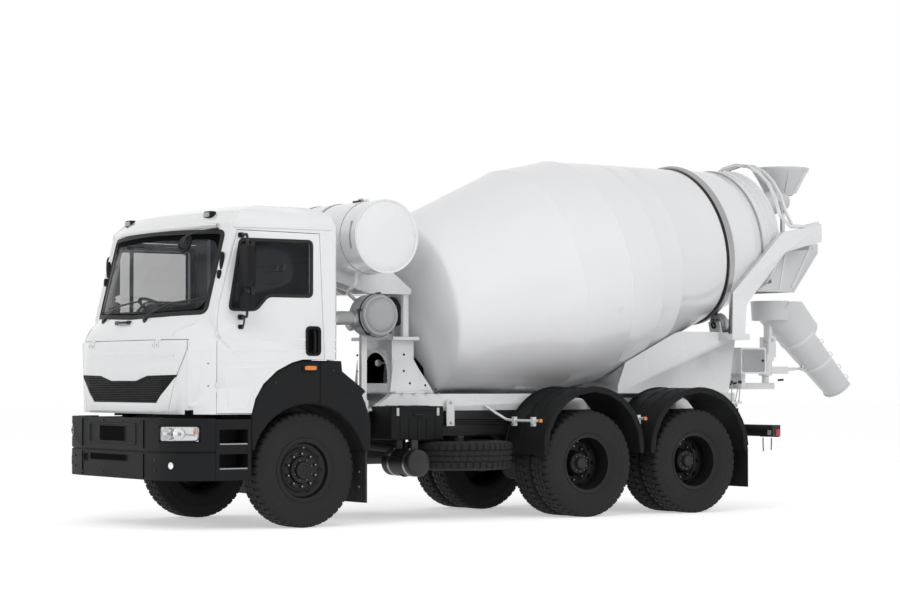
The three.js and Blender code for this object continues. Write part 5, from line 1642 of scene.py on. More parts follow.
@dataclass
class Bumper:
    """The headlamps, fog lamps, plate place, ribs and steps of the front bumper."""

    line: tuple[tuple[float, float], ...] = (
        (0.63, -1.388), (0.9, -1.365), (1.08, -1.29), (1.19, -1.15), (1.22, -0.97)
    )

    def at(self, along: float, z: float, off: float = 0.0) -> Vector:
        """A point on the bumper's left corner.

        Args:
            along: How far from the flat middle it is, measured round the corner.
            z: Height above the ground.
            off: How far it stands off.

        Returns:
            The point.
        """
        left = max(along, 0.0)
        for a, b in zip(self.line, self.line[1:]):
            step = Vector((b[0] - a[0], b[1] - a[1]))
            if left <= step.length or b is self.line[-1]:
                here = Vector(a) + step.normalized() * min(left, step.length)
                out = Vector((step.y, -step.x)).normalized() * off
                return spot(here.x + out.x, here.y + out.y, z)
            left -= step.length
        return spot(*self.line[-1], z)

    def build(self) -> None:
        """Makes every detail of the bumper."""
        self._lamps()
        self._middle()

    def _lamps(self) -> None:
        """Both headlamps and fog lamps."""
        piece = Solid("headlamps")
        edge = rounded([(0.275, 0.806), (0.665, 0.812), (0.677, 0.939), (0.275, 0.939)], 0.035, fill=6)
        piece.sheet([[self.at(s, z, off) for s, z in edge] for off in (-0.001, -0.03)], CHROME, closed=True)
        columns = even(0.275, 0.675, 16)
        piece.sheet([[self.at(s, z, -0.031) for s in columns] for z in (0.806, 0.85, 0.9, 0.939)], CHROME)
        for s, radius in ((0.35, 0.054), (0.485, 0.052)):
            centre = self.at(s, 0.873, -0.0285)
            way = (self.at(s, 0.873, 0.01) - centre).normalized()
            bowl = [
                (-0.001, 0.004), (0.002, radius * 0.45), (0.009, radius * 0.75), (0.02, radius),
                (0.022, radius),
            ]
            piece.turned(centre, way, bowl, CHROME, 32)
            piece.turned(centre, way, [(0.0, 0.013), (0.01, 0.013), (0.014, 0.008), (0.015, 0.0)], SMOKE, 16)
        piece.sheet(
            [[self.at(s, z, -0.012) for s in (0.615, 0.64, 0.662)] for z in (0.865, 0.89, 0.925)], AMBER
        )
        for s in (0.418, 0.555):
            piece.sheet([[self.at(s, z, off) for z in (0.808, 0.937)] for off in (-0.03, -0.008)], CHROME)
        cover = [
            [self.at(s, z, -0.002) for s, z in line]
            for line in (edge, drawn_in(edge, 0.03), drawn_in(edge, 0.055))
        ]
        piece.sheet(cover, LENS, closed=True)
        inner = drawn_in(edge, 0.055)
        piece.flat([self.at(s, z, -0.002) for s, z in inner], LENS)
        swell(
            piece, self.at, edge, ((-0.006, -0.002), (-0.004, 0.003), (0.002, 0.003), (0.004, -0.004)), RUBBER
        )
        fog = self.at(0.4, 0.59, -0.012)
        way = (self.at(0.4, 0.59, 0.02) - fog).normalized()
        piece.turned(fog, way, [(0.0, 0.045), (0.014, 0.045), (0.017, 0.04), (0.012, 0.03)], PLASTIC, 28)
        piece.turned(fog, way, [(0.012, 0.03), (0.016, 0.02), (0.018, 0.0)], CHROME, 28)
        for z in (0.64, 0.54):
            piece.bolt(self.at(0.2, z, 0.0), -Y_AXIS, 0.01, BLACK)
        piece.mirrored()
        piece.place("chassis", "dark_glass")

    def _middle(self) -> None:
        """The plate place, the air slot, the tow hole, the bumper's seams and the steps' treads."""
        piece = Solid("bumper_details")
        front = -1.388

        def at(x: float, z: float, off: float = 0.0) -> Vector:
            """A point on the bumper's flat middle."""
            return spot(x, front - off, z)

        place = rounded([(-0.47, 0.775), (0.47, 0.775), (0.47, 0.955), (-0.47, 0.955)], 0.02, fill=2)
        swell(piece, at, place, ((-0.012, -0.001), (-0.006, 0.008), (0.006, 0.008), (0.016, 0.001)), PLASTIC)
        deep = ((-0.012, 0.0), (-0.008, 0.005), (0.0, 0.0045), (0.002, 0.001))
        shallow = ((-0.008, -0.001), (-0.006, 0.005), (0.0, 0.005), (0.001, 0.0005))
        holes = (
            ([(-0.26, 0.795), (0.26, 0.795), (0.26, 0.932), (-0.26, 0.932)], 0.01, 0.0015, deep),
            ([(-0.46, 0.615), (0.3, 0.615), (0.3, 0.672), (-0.46, 0.672)], 0.012, 0.001, shallow),
            ([(-0.6, 0.6), (-0.535, 0.6), (-0.535, 0.665), (-0.6, 0.665)], 0.008, 0.001, shallow),
        )
        for corners, radius, off, lip in holes:
            line = rounded(corners, radius, fill=2)
            # A near-black flat on the bumper's face fills each hole: painted shade standing for its recess.
            piece.flat([at(x, z, off) for x, z in line], SHADE_AND_SEAM_BLACK)
            swell(piece, at, line, lip, PLASTIC)
        for sign in (-1, 1):
            for z, height in ((0.865, 0.13), (0.58, 0.11)):
                piece.box(spot(sign * 0.628, -1.393, z - height), spot(sign * 0.64, -1.384, z + height), SHADE_AND_SEAM_BLACK)
            for x, z in ((0.55, 0.98), (0.2, 0.98), (0.62, 0.5), (0.2, 0.5)):
                piece.bolt(spot(sign * x, front, z), -Y_AXIS, 0.008, BLACK)
            for z in (0.561, 0.781):
                piece.box(
                    spot(sign * 1.204, -0.925, z - 0.006), spot(sign * 1.2165, -0.645, z + 0.004), GREY_AND_SHADED_WHITE
                )
                for k in range(7):
                    y = -0.905 + 0.04 * k
                    piece.box(spot(sign * 1.03, y, z), spot(sign * 1.2, y + 0.012, z + 0.006), ZINC)
        piece.place("chassis", "dark_plastic")


@dataclass
class Guards:
    """The front fenders with their steps and flaps, and the edges and stays of the rear mudguards."""

    fender: tuple[Point, ...] = (
        (-0.6, 0.725), (-0.6, 1.04), (-0.556, 1.18), (-0.474, 1.31), (-0.345, 1.423), (-0.19, 1.498),
        (-0.04, 1.529),
        (0.16, 1.53), (0.335, 1.528), (0.354, 1.514), (0.362, 1.44), (0.378, 1.422), (0.594, 1.268),
        (0.604, 1.246),
        (0.572, 1.228), (0.604, 1.15), (0.66, 0.985), (0.664, 0.82), (0.655, 0.7),
    )
    section: Profile = (
        (0.64, 0.0), (1.19, 0.0), (1.208, 0.03), (1.2165, 0.1), (1.2195, 0.22), (1.2195, 0.86),
        (1.2165, 0.94),
        (1.207, 0.985), (1.195, 1.0), (0.64, 1.0),
    )
    arch_radius: float = 0.605
    arch_turn: tuple[float, float] = (19.0, 163.4)

    def build(self) -> None:
        """Makes the details of all four guards."""
        for side, sign in SIDES:
            self._fender(side, sign)
            self._rear(side, sign)

    def _fender(self, side: str, sign: int) -> None:
        """The front fender's shell with its steps and flap, and its seam, bolts and amber repeater."""
        piece = Solid(f"fender_details_{side}")
        outer = [Vector((p.y, p.z)) for p in smooth_path([(0.0, *p) for p in self.fender], 4)]
        arch = [
            Vector((-self.arch_radius * math.cos(a), Tyre.radius + self.arch_radius * math.sin(a)))
            for a in map(math.radians, even(*self.arch_turn, len(outer) - 1))
        ]
        pairs = list(zip(outer, arch))
        rows = [[spot(sign * x, *out.lerp(low, share)) for out, low in pairs] for x, share in self.section]
        piece.sheet(rows, PLASTIC)
        for out, low in (pairs[0], pairs[-1]):
            piece.flat([spot(sign * x, *out.lerp(low, share)) for x, share in self.section], PLASTIC)
        inside = self.section[0][0]
        piece.sheet([[spot(sign * inside, *place) for place in line] for line in (outer, arch)], PLASTIC)
        self._steps(piece, sign)
        piece.box(spot(sign * 0.64, 0.606, 0.215), spot(sign * 1.205, 0.627, 0.72), RUBBER)
        for y in (0.6, -0.585):
            piece.tube(spots((sign * 0.432, y, 0.86), (sign * 0.7, y, 0.86)), 0.022, BLACK, 12, steps=0)
        piece.box(spot(sign * 1.2185, 0.108, 1.135), spot(sign * 1.2208, 0.113, 1.525), SHADE_AND_SEAM_BLACK)
        piece.ball(spot(sign * 1.224, 0.0, 1.462), (0.013, 0.082, 0.032), PLASTIC, 5)
        piece.ball(spot(sign * 1.232, 0.0, 1.462), (0.014, 0.062, 0.02), AMBER, 5)
        for y, z in ((-0.36, 1.33), (0.25, 1.44), (0.45, 1.25)):
            piece.bolt(spot(sign * 1.2205, y, z), X_AXIS * sign, 0.008, BLACK)
        for z in (0.36, 0.5):
            piece.bolt(spot(sign * 1.1, 0.607, z), -Y_AXIS, 0.01, ZINC)
        piece.place("chassis", "dark_plastic", [f"front_fender_{side}"], bevel=0.003)

    @staticmethod
    def _steps(piece: Solid, sign: int) -> None:
        """The box with two steps in front of the wheel.

        Args:
            piece: The fender's piece.
            sign: 1 on the left and -1 on the right.
        """
        walls = (
            ((0.96, -0.965, 0.455), (1.215, -0.606, 0.56)),
            ((0.96, -0.93, 0.69), (1.213, -0.64, 0.78)),
            ((0.96, -0.965, 0.91), (1.215, -0.606, 1.0)),
            ((0.96, -0.965, 0.56), (1.215, -0.93, 0.91)),
            ((0.96, -0.64, 0.56), (1.215, -0.606, 0.91)),
            ((0.96, -0.93, 0.56), (1.01, -0.64, 0.91)),
        )
        for low, high in walls:
            piece.box(spot(sign * low[0], *low[1:]), spot(sign * high[0], *high[1:]), PLASTIC)

    def _rear(self, side: str, sign: int) -> None:
        """The rear mudguards' rolled edges, ribs, white stays with amber tips and flap clamps."""
        piece = Solid(f"mudguard_details_{side}")
        for y, z, radius, first in ((3.265, 0.665, 0.615, 4), (4.615, 0.635, 0.635, 0)):
            edge = (radius, range(first, 181, 8), (1.2135, 0.572), 0.0105, 10)
            rib = (radius - 0.004, range(first + 6, 176, 8), (0.8, 0.985), 0.007, 6)
            for reach, degrees, across_truck, thick, sides in (edge, rib):
                turns = [math.radians(a) for a in degrees]
                for x in across_truck:
                    arc = [spot(sign * x, y - reach * math.cos(a), z + reach * math.sin(a)) for a in turns]
                    piece.tube(arc, thick, PLASTIC, sides, steps=1)
        for y, z in ((2.632, 0.955), (3.932, 0.965)):
            stay = ((0.455, y - 0.16, 1.1), (0.56, y - 0.03, 0.99), (0.68, y, z), (1.165, y, z))
            piece.tube([spot(sign * x, *place) for x, *place in stay], 0.0135, WHITE, 12, steps=3)
            piece.turned(
                spot(sign * 1.162, y, z), X_AXIS * sign, [(0, 0.0), (0, 0.019), (0.026, 0.019), (0.03, 0.0)],
                AMBER, 16,
            )
            for x in (0.74, 1.06):
                low = spot(sign * (x - 0.022), y - 0.017, z - 0.055)
                piece.box(low, spot(sign * (x + 0.022), y + 0.019, z + 0.035), WHITE)
                piece.bolt(spot(sign * x, y - 0.018, z - 0.038), -Y_AXIS, 0.008, ZINC)
        for x in (0.66, 0.86, 1.06):
            piece.bolt(spot(sign * x, 5.251, 0.61), Y_AXIS, 0.009, ZINC)
        piece.box(spot(sign * 0.6, 5.2455, 0.592), spot(sign * 1.18, 5.2535, 0.628), BLACK)
        piece.place("chassis", "dark_plastic")


@dataclass
class ChassisDetails:
    """The air tank, battery box lid, tail lamps, front stand details, hoses and bolts of the chassis."""

    def build(self) -> None:
        """Makes every chassis detail."""
        self._air_tank()
        self._battery_box()
        self._tail()
        self._front_stand()
        self._hoses()

    def _air_tank(self) -> None:
        """The cylindrical air tank with dished ends, straps and brackets."""
        piece = Solid("air_tank_shell")
        foot = spot(0.45, 1.36, 0.56)
        end = [(0.0, 0.0), (0.004, 0.05), (0.014, 0.095), (0.03, 0.121), (0.045, 0.129)]
        profile = end + [(0.045, 0.1255), (0.052, 0.1255), (0.052, 0.1295)]
        profile += [(0.55 - s, r) for s, r in reversed(profile)]
        piece.turned(foot, X_AXIS, profile, BLACK, 48)
        for s in (0.14, 0.41):
            piece.turned(
                foot + X_AXIS * s, X_AXIS, [(0, 0.127), (0, 0.1305), (0.03, 0.1305), (0.03, 0.127)], ZINC, 48
            )
            piece.box(spot(0.45 + s, 1.325, 0.685), spot(0.45 + s + 0.03, 1.395, 0.778), BLACK)
            piece.bolt(spot(0.45 + s + 0.015, 1.31, 0.69), Z_AXIS, 0.009, ZINC)
        plug = [(0, 0.022), (0.004, 0.021), (0.0055, 0.0)]
        piece.turned(spot(0.9995, 1.36, 0.56) - X_AXIS * 0.006, X_AXIS, plug, ZINC, 6)
        pipe = spots((0.75, 1.36, 0.432), (0.75, 1.3, 0.44), (0.7, 1.26, 0.52), (0.55, 1.25, 0.62))
        piece.tube(pipe, 0.008, BLACK, 8)
        piece.place("chassis", "black_steel", ["air_tank"])

    def _battery_box(self) -> None:
        """The battery box's lid, ribs, handle and catches."""
        piece = Solid("battery_box_details")
        piece.box(spot(0.432, 1.152, 1.062), spot(0.806, 1.748, 1.074), PLASTIC)
        for y in (1.3, 1.45, 1.6):
            piece.box(spot(0.46, y - 0.008, 1.098), spot(0.77, y + 0.008, 1.106), PLASTIC)
        for y in (1.22, 1.68):
            piece.box(spot(0.8, y - 0.015, 1.01), spot(0.81, y + 0.015, 1.085), ZINC)
            piece.bolt(spot(0.806, y, 1.03), X_AXIS, 0.007, ZINC)
        for k in range(5):
            piece.box(spot(0.799, 1.25 + 0.1 * k, 0.8), spot(0.806, 1.27 + 0.1 * k, 0.99), PLASTIC)
        handle = ((0.803, 1.4), (0.828, 1.41), (0.828, 1.49), (0.803, 1.5))
        piece.tube([spot(x, y, 1.02) for x, y in handle], 0.006, BLACK, 8, steps=2)
        piece.place("chassis", "dark_plastic", bevel=0.0015)

    def _tail(self) -> None:
        """The tail lamps, reflectors and hanging rods of the rear beam."""
        piece = Solid("tail_lamps")
        for x, finish in ((1.02, RED), (0.93, AMBER), (0.84, RED)):
            piece.ball(spot(x, 5.802, 0.8), (0.042, 0.02, 0.04), finish, 5)
        piece.box(spot(0.78, 5.796, 0.752), spot(1.075, 5.804, 0.848), PLASTIC)
        piece.ball(spot(1.099, 5.765, 0.8), (0.012, 0.032, 0.036), RED, 4)
        piece.box(spot(1.03, 5.682, 0.775), spot(1.08, 5.691, 0.825), GREY_AND_SHADED_WHITE)
        for x, drop in (
            (1.06, ((5.71, 0.745), (5.71, 0.68), (5.705, 0.62))),
            (0.86, ((5.77, 0.745), (5.77, 0.66), (5.775, 0.6))),
        ):
            piece.tube([spot(x, *place) for place in drop], 0.006, BLACK, 8, steps=1)
        piece.mirrored()
        piece.place("chassis", "dark_glass")

    def _front_stand(self) -> None:
        """Bolts, gussets, the arch with its inside painted shade, and the knob of the drum's front stand."""
        piece = Solid("front_stand_details")
        half, foot, crown = 0.225, 1.25, 1.4
        turns = [math.radians(a) for a in range(0, 181, 12)]
        bow = [(-half * math.cos(a), crown + half * math.sin(a)) for a in turns]
        arch = [(-half, foot), *bow, (half, foot)]
        rim = [(x * 1.14, foot + (z - foot) * 1.06) for x, z in arch]
        lines = ((rim, 1.476), (rim, 1.468), (arch, 1.468), (arch, 1.48))
        piece.sheet([[spot(x, y, z) for x, z in line] for line, y in lines], WHITE)
        # The arch's lining and back wall are near-black: painted shade for the dark opening.
        piece.sheet([[spot(x, y, z) for x, z in arch] for y in (1.48, 1.9)], SHADE_AND_SEAM_BLACK)
        piece.flat([spot(x, 1.9, z) for x, z in arch], SHADE_AND_SEAM_BLACK)
        knob = [(-0.3, 0.012), (0.06, 0.012), (0.062, 0.03), (0.08, 0.036), (0.1, 0.03), (0.108, 0.0)]
        piece.turned(spot(-0.02, 1.6, 1.52), -Y_AXIS, knob, WHITE, 24)
        for sign in (-1, 1):
            for y, z in ((1.53, 1.6), (1.53, 1.44), (1.6, 1.32), (1.78, 1.3), (1.9, 1.26)):
                piece.bolt(spot(sign * 0.431, y, z), X_AXIS * sign, 0.009, BLACK)
        for sign in (-1, 1):
            gusset = ((1.474, 1.235), (1.432, 1.235), (1.47, 1.55))
            piece.prism([spot(sign * 0.33, *place) for place in gusset], X_AXIS * sign * 0.01, WHITE)
            for y in (1.5, 1.64, 1.78, 1.92):
                piece.bolt(spot(sign * 0.452, y, 1.215), Z_AXIS, 0.011, ZINC)
            for y in (1.53, 1.86):
                piece.bolt(spot(sign * 0.35, y, 1.775), Z_AXIS, 0.012, ZINC)
            for y in (1.0, 2.0, 3.0, 3.9, 4.8):
                piece.box(spot(sign * 0.47, y, 0.9), spot(sign * 0.484, y + 0.09, 1.16), WHITE)
                for z in (0.93, 1.13):
                    piece.bolt(spot(sign * 0.484, y + 0.045, z), X_AXIS * sign, 0.012, ZINC)
        piece.place("chassis", "white_paint")

    def _hoses(self) -> None:
        """Air and fuel lines along the frame."""
        piece = Solid("chassis_lines")
        for z, radius in ((0.97, 0.008), (0.945, 0.006), (0.925, 0.006)):
            run = (
                (0.447, 0.75, 0.0), (0.449, 1.1, -0.01), (0.447, 1.9, 0.0), (0.447, 3.0, -0.005),
                (0.447, 4.6, 0.0),
            )
            piece.tube([spot(x, y, z + sag) for x, y, sag in run], radius, BLACK, 8)
        hose = spots((-0.6, 1.2, 1.035), (-0.6, 1.15, 1.07), (-0.5, 1.1, 1.05), (-0.46, 0.9, 0.95))
        piece.tube(hose, 0.01, BLACK, 8)
        piece.turned(
            spot(-0.8, 1.45, 1.035), Z_AXIS, [(0, 0.055), (0.02, 0.055), (0.028, 0.048), (0.03, 0.0)], BLACK,
            28,
        )
        piece.place("chassis", "black_paint")


@dataclass
class Body:
    """The bumper, guards and chassis details."""

    def build(self) -> None:
        """Makes them in turn."""
        for part in (Bumper, Guards, ChassisDetails):
            part().build()


# ---------------------------------------------------------------- rear end


@dataclass
class Rollers:
    """The two rollers that carry the drum's track ring."""

    half: float = 0.045

    def build(self) -> None:
        """Makes each roller with the bolts of its end plates."""
        axis, half = MixerDrum().axis, self.half
        for side, _ in SIDES:
            centre = middle(f"roller_{side}")
            piece = Solid(f"roller_face_{side}")
            rim = [(-half, 0.0215), (-half, 0.098), (-half + 0.006, 0.106), (-half + 0.012, 0.1098)]
            rim += [(-place, radius) for place, radius in reversed(rim)]
            piece.turned(centre, axis, rim, STEEL, 48)
            for at, _ in piece.ring(centre, axis, 0.06, 6):
                for way in (-1, 1):
                    piece.bolt(at + axis * way * half, axis * way, 0.008, BLACK, 0.5)
            piece.place(f"drum_roller_{side}", "bare_steel", [f"roller_{side}"])


@dataclass
class ChargeHopper:
    """The funnel that concrete is poured into, with its throat, rim and legs."""

    y: float = 6.79

    def build(self) -> None:
        """Makes the hopper in place of its node."""
        piece = Solid("charge_hopper_shell")
        centre = spot(0.0, self.y, 0.0)
        profile = [
            (3.4, 0.1265), (3.4, 0.137), (3.43, 0.156), (3.56, 0.24), (3.675, 0.3135), (3.69, 0.3215),
            (3.7, 0.3215),
            (3.702, 0.317), (3.702, 0.313), (3.69, 0.3095), (3.67, 0.299), (3.56, 0.227), (3.43, 0.144),
            (3.4, 0.1265),
        ]
        piece.turned(centre, Z_AXIS, profile, WORN_AND_SHADED_WHITE, 64)
        rib = ((0.145, 3.425), (0.185, 3.425), (0.318, 3.672), (0.3, 3.672))
        for k in range(8):
            a = math.tau * (k + 0.5) / 8
            out = Vector((math.cos(a), math.sin(a), 0.0))
            piece.prism([centre + out * r + Z_AXIS * z for r, z in rib], out.cross(Z_AXIS) * 0.006, WHITE)
        low, high = spot(0.0, 6.09, 3.08), spot(0.0, 6.8, 3.375)
        axis = (high - low).normalized()
        length = (high - low).length
        pipe = [
            (0, 0.1255), (0, 0.137), (length * 0.45, 0.137), (length, 0.137), (length, 0.1255), (0, 0.1255)
        ]
        piece.turned(low, axis, pipe, WORN_AND_SHADED_WHITE, 40)
        for along in (0.1, length * 0.55):
            hoop = [(along, 0.1365), (along, 0.147), (along + 0.014, 0.147), (along + 0.014, 0.1365)]
            piece.turned(low, axis, hoop, WHITE, 40)
        for sign in (-1, 1):
            piece.box(spot(sign * 0.18, 6.625, 2.905), spot(sign * 0.215, 6.665, 3.215), WHITE)
            ear = ((0.19, 3.2), (0.19, 3.3), (0.135, 3.34), (0.12, 3.23))
            piece.prism([spot(sign * x, 6.645, z) for x, z in ear], Y_AXIS * 0.014, WHITE)
            for z in (2.94, 3.0):
                piece.bolt(spot(sign * 0.198, 6.666, z), Y_AXIS, 0.009, ZINC)
        piece.box(spot(-0.215, 6.635, 3.195), spot(0.215, 6.655, 3.235), WHITE)
        piece.place("chassis", "white_paint", ["charge_hopper"], bevel=0.0015)


@dataclass
class Chute:
    """The swinging chute: a round trough with a hood at its head, folded rims, hooks and its pivot's eye."""

    head: tuple[float, float, float] = (0.0, 6.83, 2.08)
    slope: float = 44.0
    length: float = 1.13
    rise: float = 0.19
    wide: float = 0.262
    narrow: float = 0.182
    hood: float = 0.33
    level: float = 2.22

    def point(self, along: float, turn: float, radius: float) -> Vector:
        """A point of the trough.

        Args:
            along: How far down the trough.
            turn: Degrees from straight down, towards the left.
            radius: Its distance from the trough's axis.

        Returns:
            The point.
        """
        down = math.radians(self.slope)
        direction = Vector((0.0, math.cos(down), -math.sin(down)))
        up = Vector((0.0, math.sin(down), math.cos(down)))
        out = X_AXIS * math.sin(math.radians(turn)) - up * math.cos(math.radians(turn))
        return spot(*self.head) + direction * along + out * radius

    def radius(self, along: float) -> float:
        """The outside radius at a distance down the trough."""
        return self.wide + (self.narrow - self.wide) * (along + self.rise) / (self.length + self.rise)

    def on(self, along: float, turn: float, off: float = 0.0) -> Vector:
        """A point that far off the trough's outside."""
        return self.point(along, turn, self.radius(along) + off)

    def start(self, turn: float) -> float:
        """How far down the trough its wall begins, where it is cut level at the top."""
        along = -self.rise
        while along < self.hood and self.point(along, turn, self.radius(along)).z > self.level:
            along += 0.004
        return along

    def build(self) -> None:
        """Makes the chute in place of its node."""
        piece = Solid("chute_trough")
        whole = [360 * k / 56 - 180 for k in range(57)]
        lower = even(-95, 95, 34)
        for inset in (0.0, 0.0115):
            runs = [even(self.start(turn), self.hood, 6) for turn in whole]
            head = [[self.on(runs[j][k], turn, -inset) for j, turn in enumerate(whole)] for k in range(7)]
            piece.sheet(head, WORN_AND_SHADED_WHITE)
            piece.sheet(
                [[self.on(s, turn, -inset) for turn in lower] for s in even(self.hood, self.length, 8)],
                WORN_AND_SHADED_WHITE,
            )
        collar = [(2.01, 0.229), (2.01, 0.24), (2.222, 0.252), (2.222, 0.241), (2.01, 0.229)]
        piece.turned(spot(0.0, 6.68, 0.0), Z_AXIS, collar, WORN_AND_SHADED_WHITE, 32, *self.front_half())
        self._rims(piece)
        self._pivot(piece)
        piece.place("chute_body", "white_paint", ["chute"])

    @staticmethod
    def front_half() -> tuple[float, float]:
        """Where the collar's front half starts, and how far it turns, both in degrees."""
        u, v = across(Z_AXIS)
        if u.cross(v).z < 0:
            return math.degrees(math.atan2(-v.x, -u.x)) - 2, 184
        return math.degrees(math.atan2(v.x, u.x)) + 178, 184

    def _rims(self, piece: Solid) -> None:
        """The folded edges, the lip at the mouth, the stiffening band and the loops along the edge."""
        for sign in (-1, 1):
            edge = [self.on(s, sign * 95, -0.006) for s in even(0.325, 1.125, 8)]
            piece.tube(edge, 0.01, WHITE, 10, steps=1)
            for s in (0.46, 0.66, 0.86, 1.02):
                bends = ((-0.03, 97, 0.0), (-0.02, 100, 0.022), (0.02, 100, 0.022), (0.03, 97, 0.0))
                loop = [self.point(s + step, sign * turn, self.radius(s) + off) for step, turn, off in bends]
                piece.tube(loop, 0.005, WHITE, 6, steps=3)
        lip = [self.point(self.length - 0.006, turn, self.narrow + 0.004) for turn in even(-95, 95, 30)]
        piece.tube(lip, 0.009, WORN_AND_SHADED_WHITE, 8, steps=1)
        cut_edge = [self.point(0.332, turn, self.radius(self.hood) - 0.006) for turn in even(95, 265, 24)]
        piece.tube(cut_edge, 0.009, WHITE, 8, steps=1)
        section = ((-0.02, -0.002), (-0.018, 0.006), (0.018, 0.006), (0.02, -0.002))
        for s in (0.3, 0.7):
            rows = [
                [self.point(s + step, turn, self.radius(s) + off) for turn in even(-94, 94, 40)]
                for step, off in section
            ]
            piece.sheet(rows, WHITE)
        piece.tube([self.on(s, 0.0, 0.001) for s in even(-0.1, 1.1, 10)], 0.004, WHITE, 6, steps=1)

    def _pivot(self, piece: Solid) -> None:
        """The lug with its pin, the eye under the trough and the jack that tips it."""
        piece.box(spot(-0.046, 6.578, 1.772), spot(0.046, 6.622, 2.02), WHITE)
        piece.turned(
            spot(-0.078, 6.6, 1.79), X_AXIS, [(0, 0.0), (0, 0.0178), (0.156, 0.0178), (0.156, 0.0)], ZINC, 20
        )
        for sign in (-1, 1):
            lug = ((7.085, 1.64), (7.135, 1.6), (7.13, 1.465), (7.11, 1.452), (7.09, 1.465))
            piece.prism([spot(sign * 0.019, *place) for place in lug], X_AXIS * sign * -0.01, WHITE)
        piece.turned(
            spot(-0.03, 7.11, 1.48), X_AXIS, [(0, 0.0), (0, 0.012), (0.06, 0.012), (0.06, 0.0)], ZINC, 14
        )
        foot, top = spot(0.0, 6.72, 1.46), spot(0.0, 7.11, 1.48)
        way = (top - foot).normalized()
        jack = [
            (0, 0.0), (0, 0.016), (0.012, 0.018), (0.1, 0.018), (0.105, 0.011), (0.155, 0.011),
            (0.16, 0.0178),
            (0.28, 0.0178), (0.285, 0.011), (0.385, 0.011), (0.385, 0.0),
        ]
        piece.turned(foot, way, jack, WHITE, 18)
        for s in (0.11, 0.12, 0.13, 0.14, 0.3, 0.31, 0.32, 0.33, 0.34, 0.35):
            piece.turned(foot + way * s, way, [(0, 0.01), (0.004, 0.0135), (0.008, 0.01)], ZINC, 14)
        grip = foot + way * 0.09 - Z_AXIS * 0.112
        piece.turned(grip, -way, [(-0.01, 0.0), (-0.01, 0.012), (0.06, 0.012), (0.066, 0.0)], BLACK, 12)


@dataclass
class RearDetails:
    """Edges of the discharge hopper, the control box's door, levers and bolts of the rear stand."""

    side_line: tuple[Point, ...] = ((6.62, 2.31), (6.97, 2.75), (6.97, 2.85), (6.24, 2.85))

    def build(self) -> None:
        """Makes the details that stay on the chassis."""
        self._hopper()
        self._control_box()
        self._levers()
        self._stand()

    def _hopper(self) -> None:
        """Rolled edges, stiffeners and bolts on the discharge hopper."""
        piece = Solid("discharge_hopper_edges")
        for sign in (-1, 1):
            x = sign * 0.4
            for a, b in zip(self.side_line, self.side_line[1:]):
                piece.tube(spots((x, *a), (x, *b)), 0.0085, WHITE, 8, steps=0)
            for low, bottom, high, top in ((6.6, 2.36, 6.86, 2.8), (6.42, 2.34, 6.52, 2.82)):
                rib = ((low - 0.012, bottom), (low + 0.012, bottom), (high + 0.012, top), (high - 0.012, top))
                piece.prism([spot(x, *place) for place in rib], X_AXIS * sign * 0.008, WHITE)
            for y in (6.3, 6.45, 6.6, 6.75, 6.9):
                piece.bolt(spot(x, y, 2.8), X_AXIS * sign, 0.007, ZINC)
        for y, z in ((6.97, 2.85), (6.97, 2.75)):
            piece.tube(spots((-0.4, y, z), (0.4, y, z)), 0.0085, WHITE, 8, steps=0)
        piece.place("chassis", "white_paint")

    def _control_box(self) -> None:
        """The control box's door, hinges, catch and cable glands."""
        piece = Solid("control_box_door")

        def face(y: float, z: float, off: float = 0.0) -> Vector:
            """A point on the box's left face."""
            return spot(0.42 + off, y, z)

        edge = rounded([(5.868, 1.438), (6.182, 1.438), (6.182, 1.682), (5.868, 1.682)], 0.02, fill=2)
        swell(piece, face, edge, ((0.0, 0.0), (0.002, 0.006), (0.01, 0.007), (0.016, 0.003)), GREY_AND_SHADED_WHITE)
        piece.flat([face(y, z, 0.003) for y, z in drawn_in(edge, 0.016)], GREY_AND_SHADED_WHITE)
        for z in (1.48, 1.64):
            piece.tube([face(5.872, z - 0.02, 0.008), face(5.872, z + 0.02, 0.008)], 0.007, ZINC, 10, steps=0)
        piece.turned(face(6.15, 1.56, 0.004), X_AXIS, [(0, 0.014), (0.012, 0.013), (0.012, 0.0)], BLACK, 16)
        piece.tube(spots((0.28, 6.0, 1.425), (0.28, 6.0, 1.35), (0.16, 5.9, 1.3)), 0.01, BLACK, 8)
        piece.place("chassis", "white_paint")

    def _levers(self) -> None:
        """Three control levers on their bracket at the left rear corner, with their rod."""
        piece = Solid("control_levers")
        piece.box(spot(0.475, 5.6, 1.1), spot(0.56, 5.74, 1.125), WHITE)
        piece.box(spot(0.475, 5.6, 1.06), spot(0.487, 5.74, 1.1), WHITE)
        for k, lean in enumerate((-0.02, 0.03, 0.0)):
            foot = spot(0.53, 5.62 + 0.05 * k, 1.12)
            tip = foot + Vector((0.03, lean, 0.21))
            piece.tube([foot, foot.lerp(tip, 0.5), tip], 0.006, ZINC, 8, steps=1)
            piece.ball(tip, (0.014, 0.014, 0.018), BLACK)
            piece.ball(foot, (0.012, 0.012, 0.012), BLACK)
        piece.tube(spots((0.5, 5.66, 1.1), (0.5, 5.5, 1.02), (0.48, 5.1, 1.0)), 0.006, ZINC, 8)
        piece.place("chassis", "black_steel")

    def _stand(self) -> None:
        """Bolts of the rear stand, and the roller bearings' caps."""
        piece = Solid("rear_stand_details")
        for sign in (-1, 1):
            for y in (4.4, 4.7, 5.0, 5.3):
                piece.bolt(spot(sign * 0.455, y, 1.215), Z_AXIS, 0.011, ZINC)
        axis = MixerDrum().axis
        for node in ("roller_left", "roller_right"):
            for way in (-1, 1):
                at = middle(node) + axis * way * 0.079
                piece.turned(
                    at, axis * way, [(0, 0.0215), (0, 0.04), (0.01, 0.038), (0.012, 0.0225)], BLACK, 24
                )
        piece.place("chassis", "white_paint")


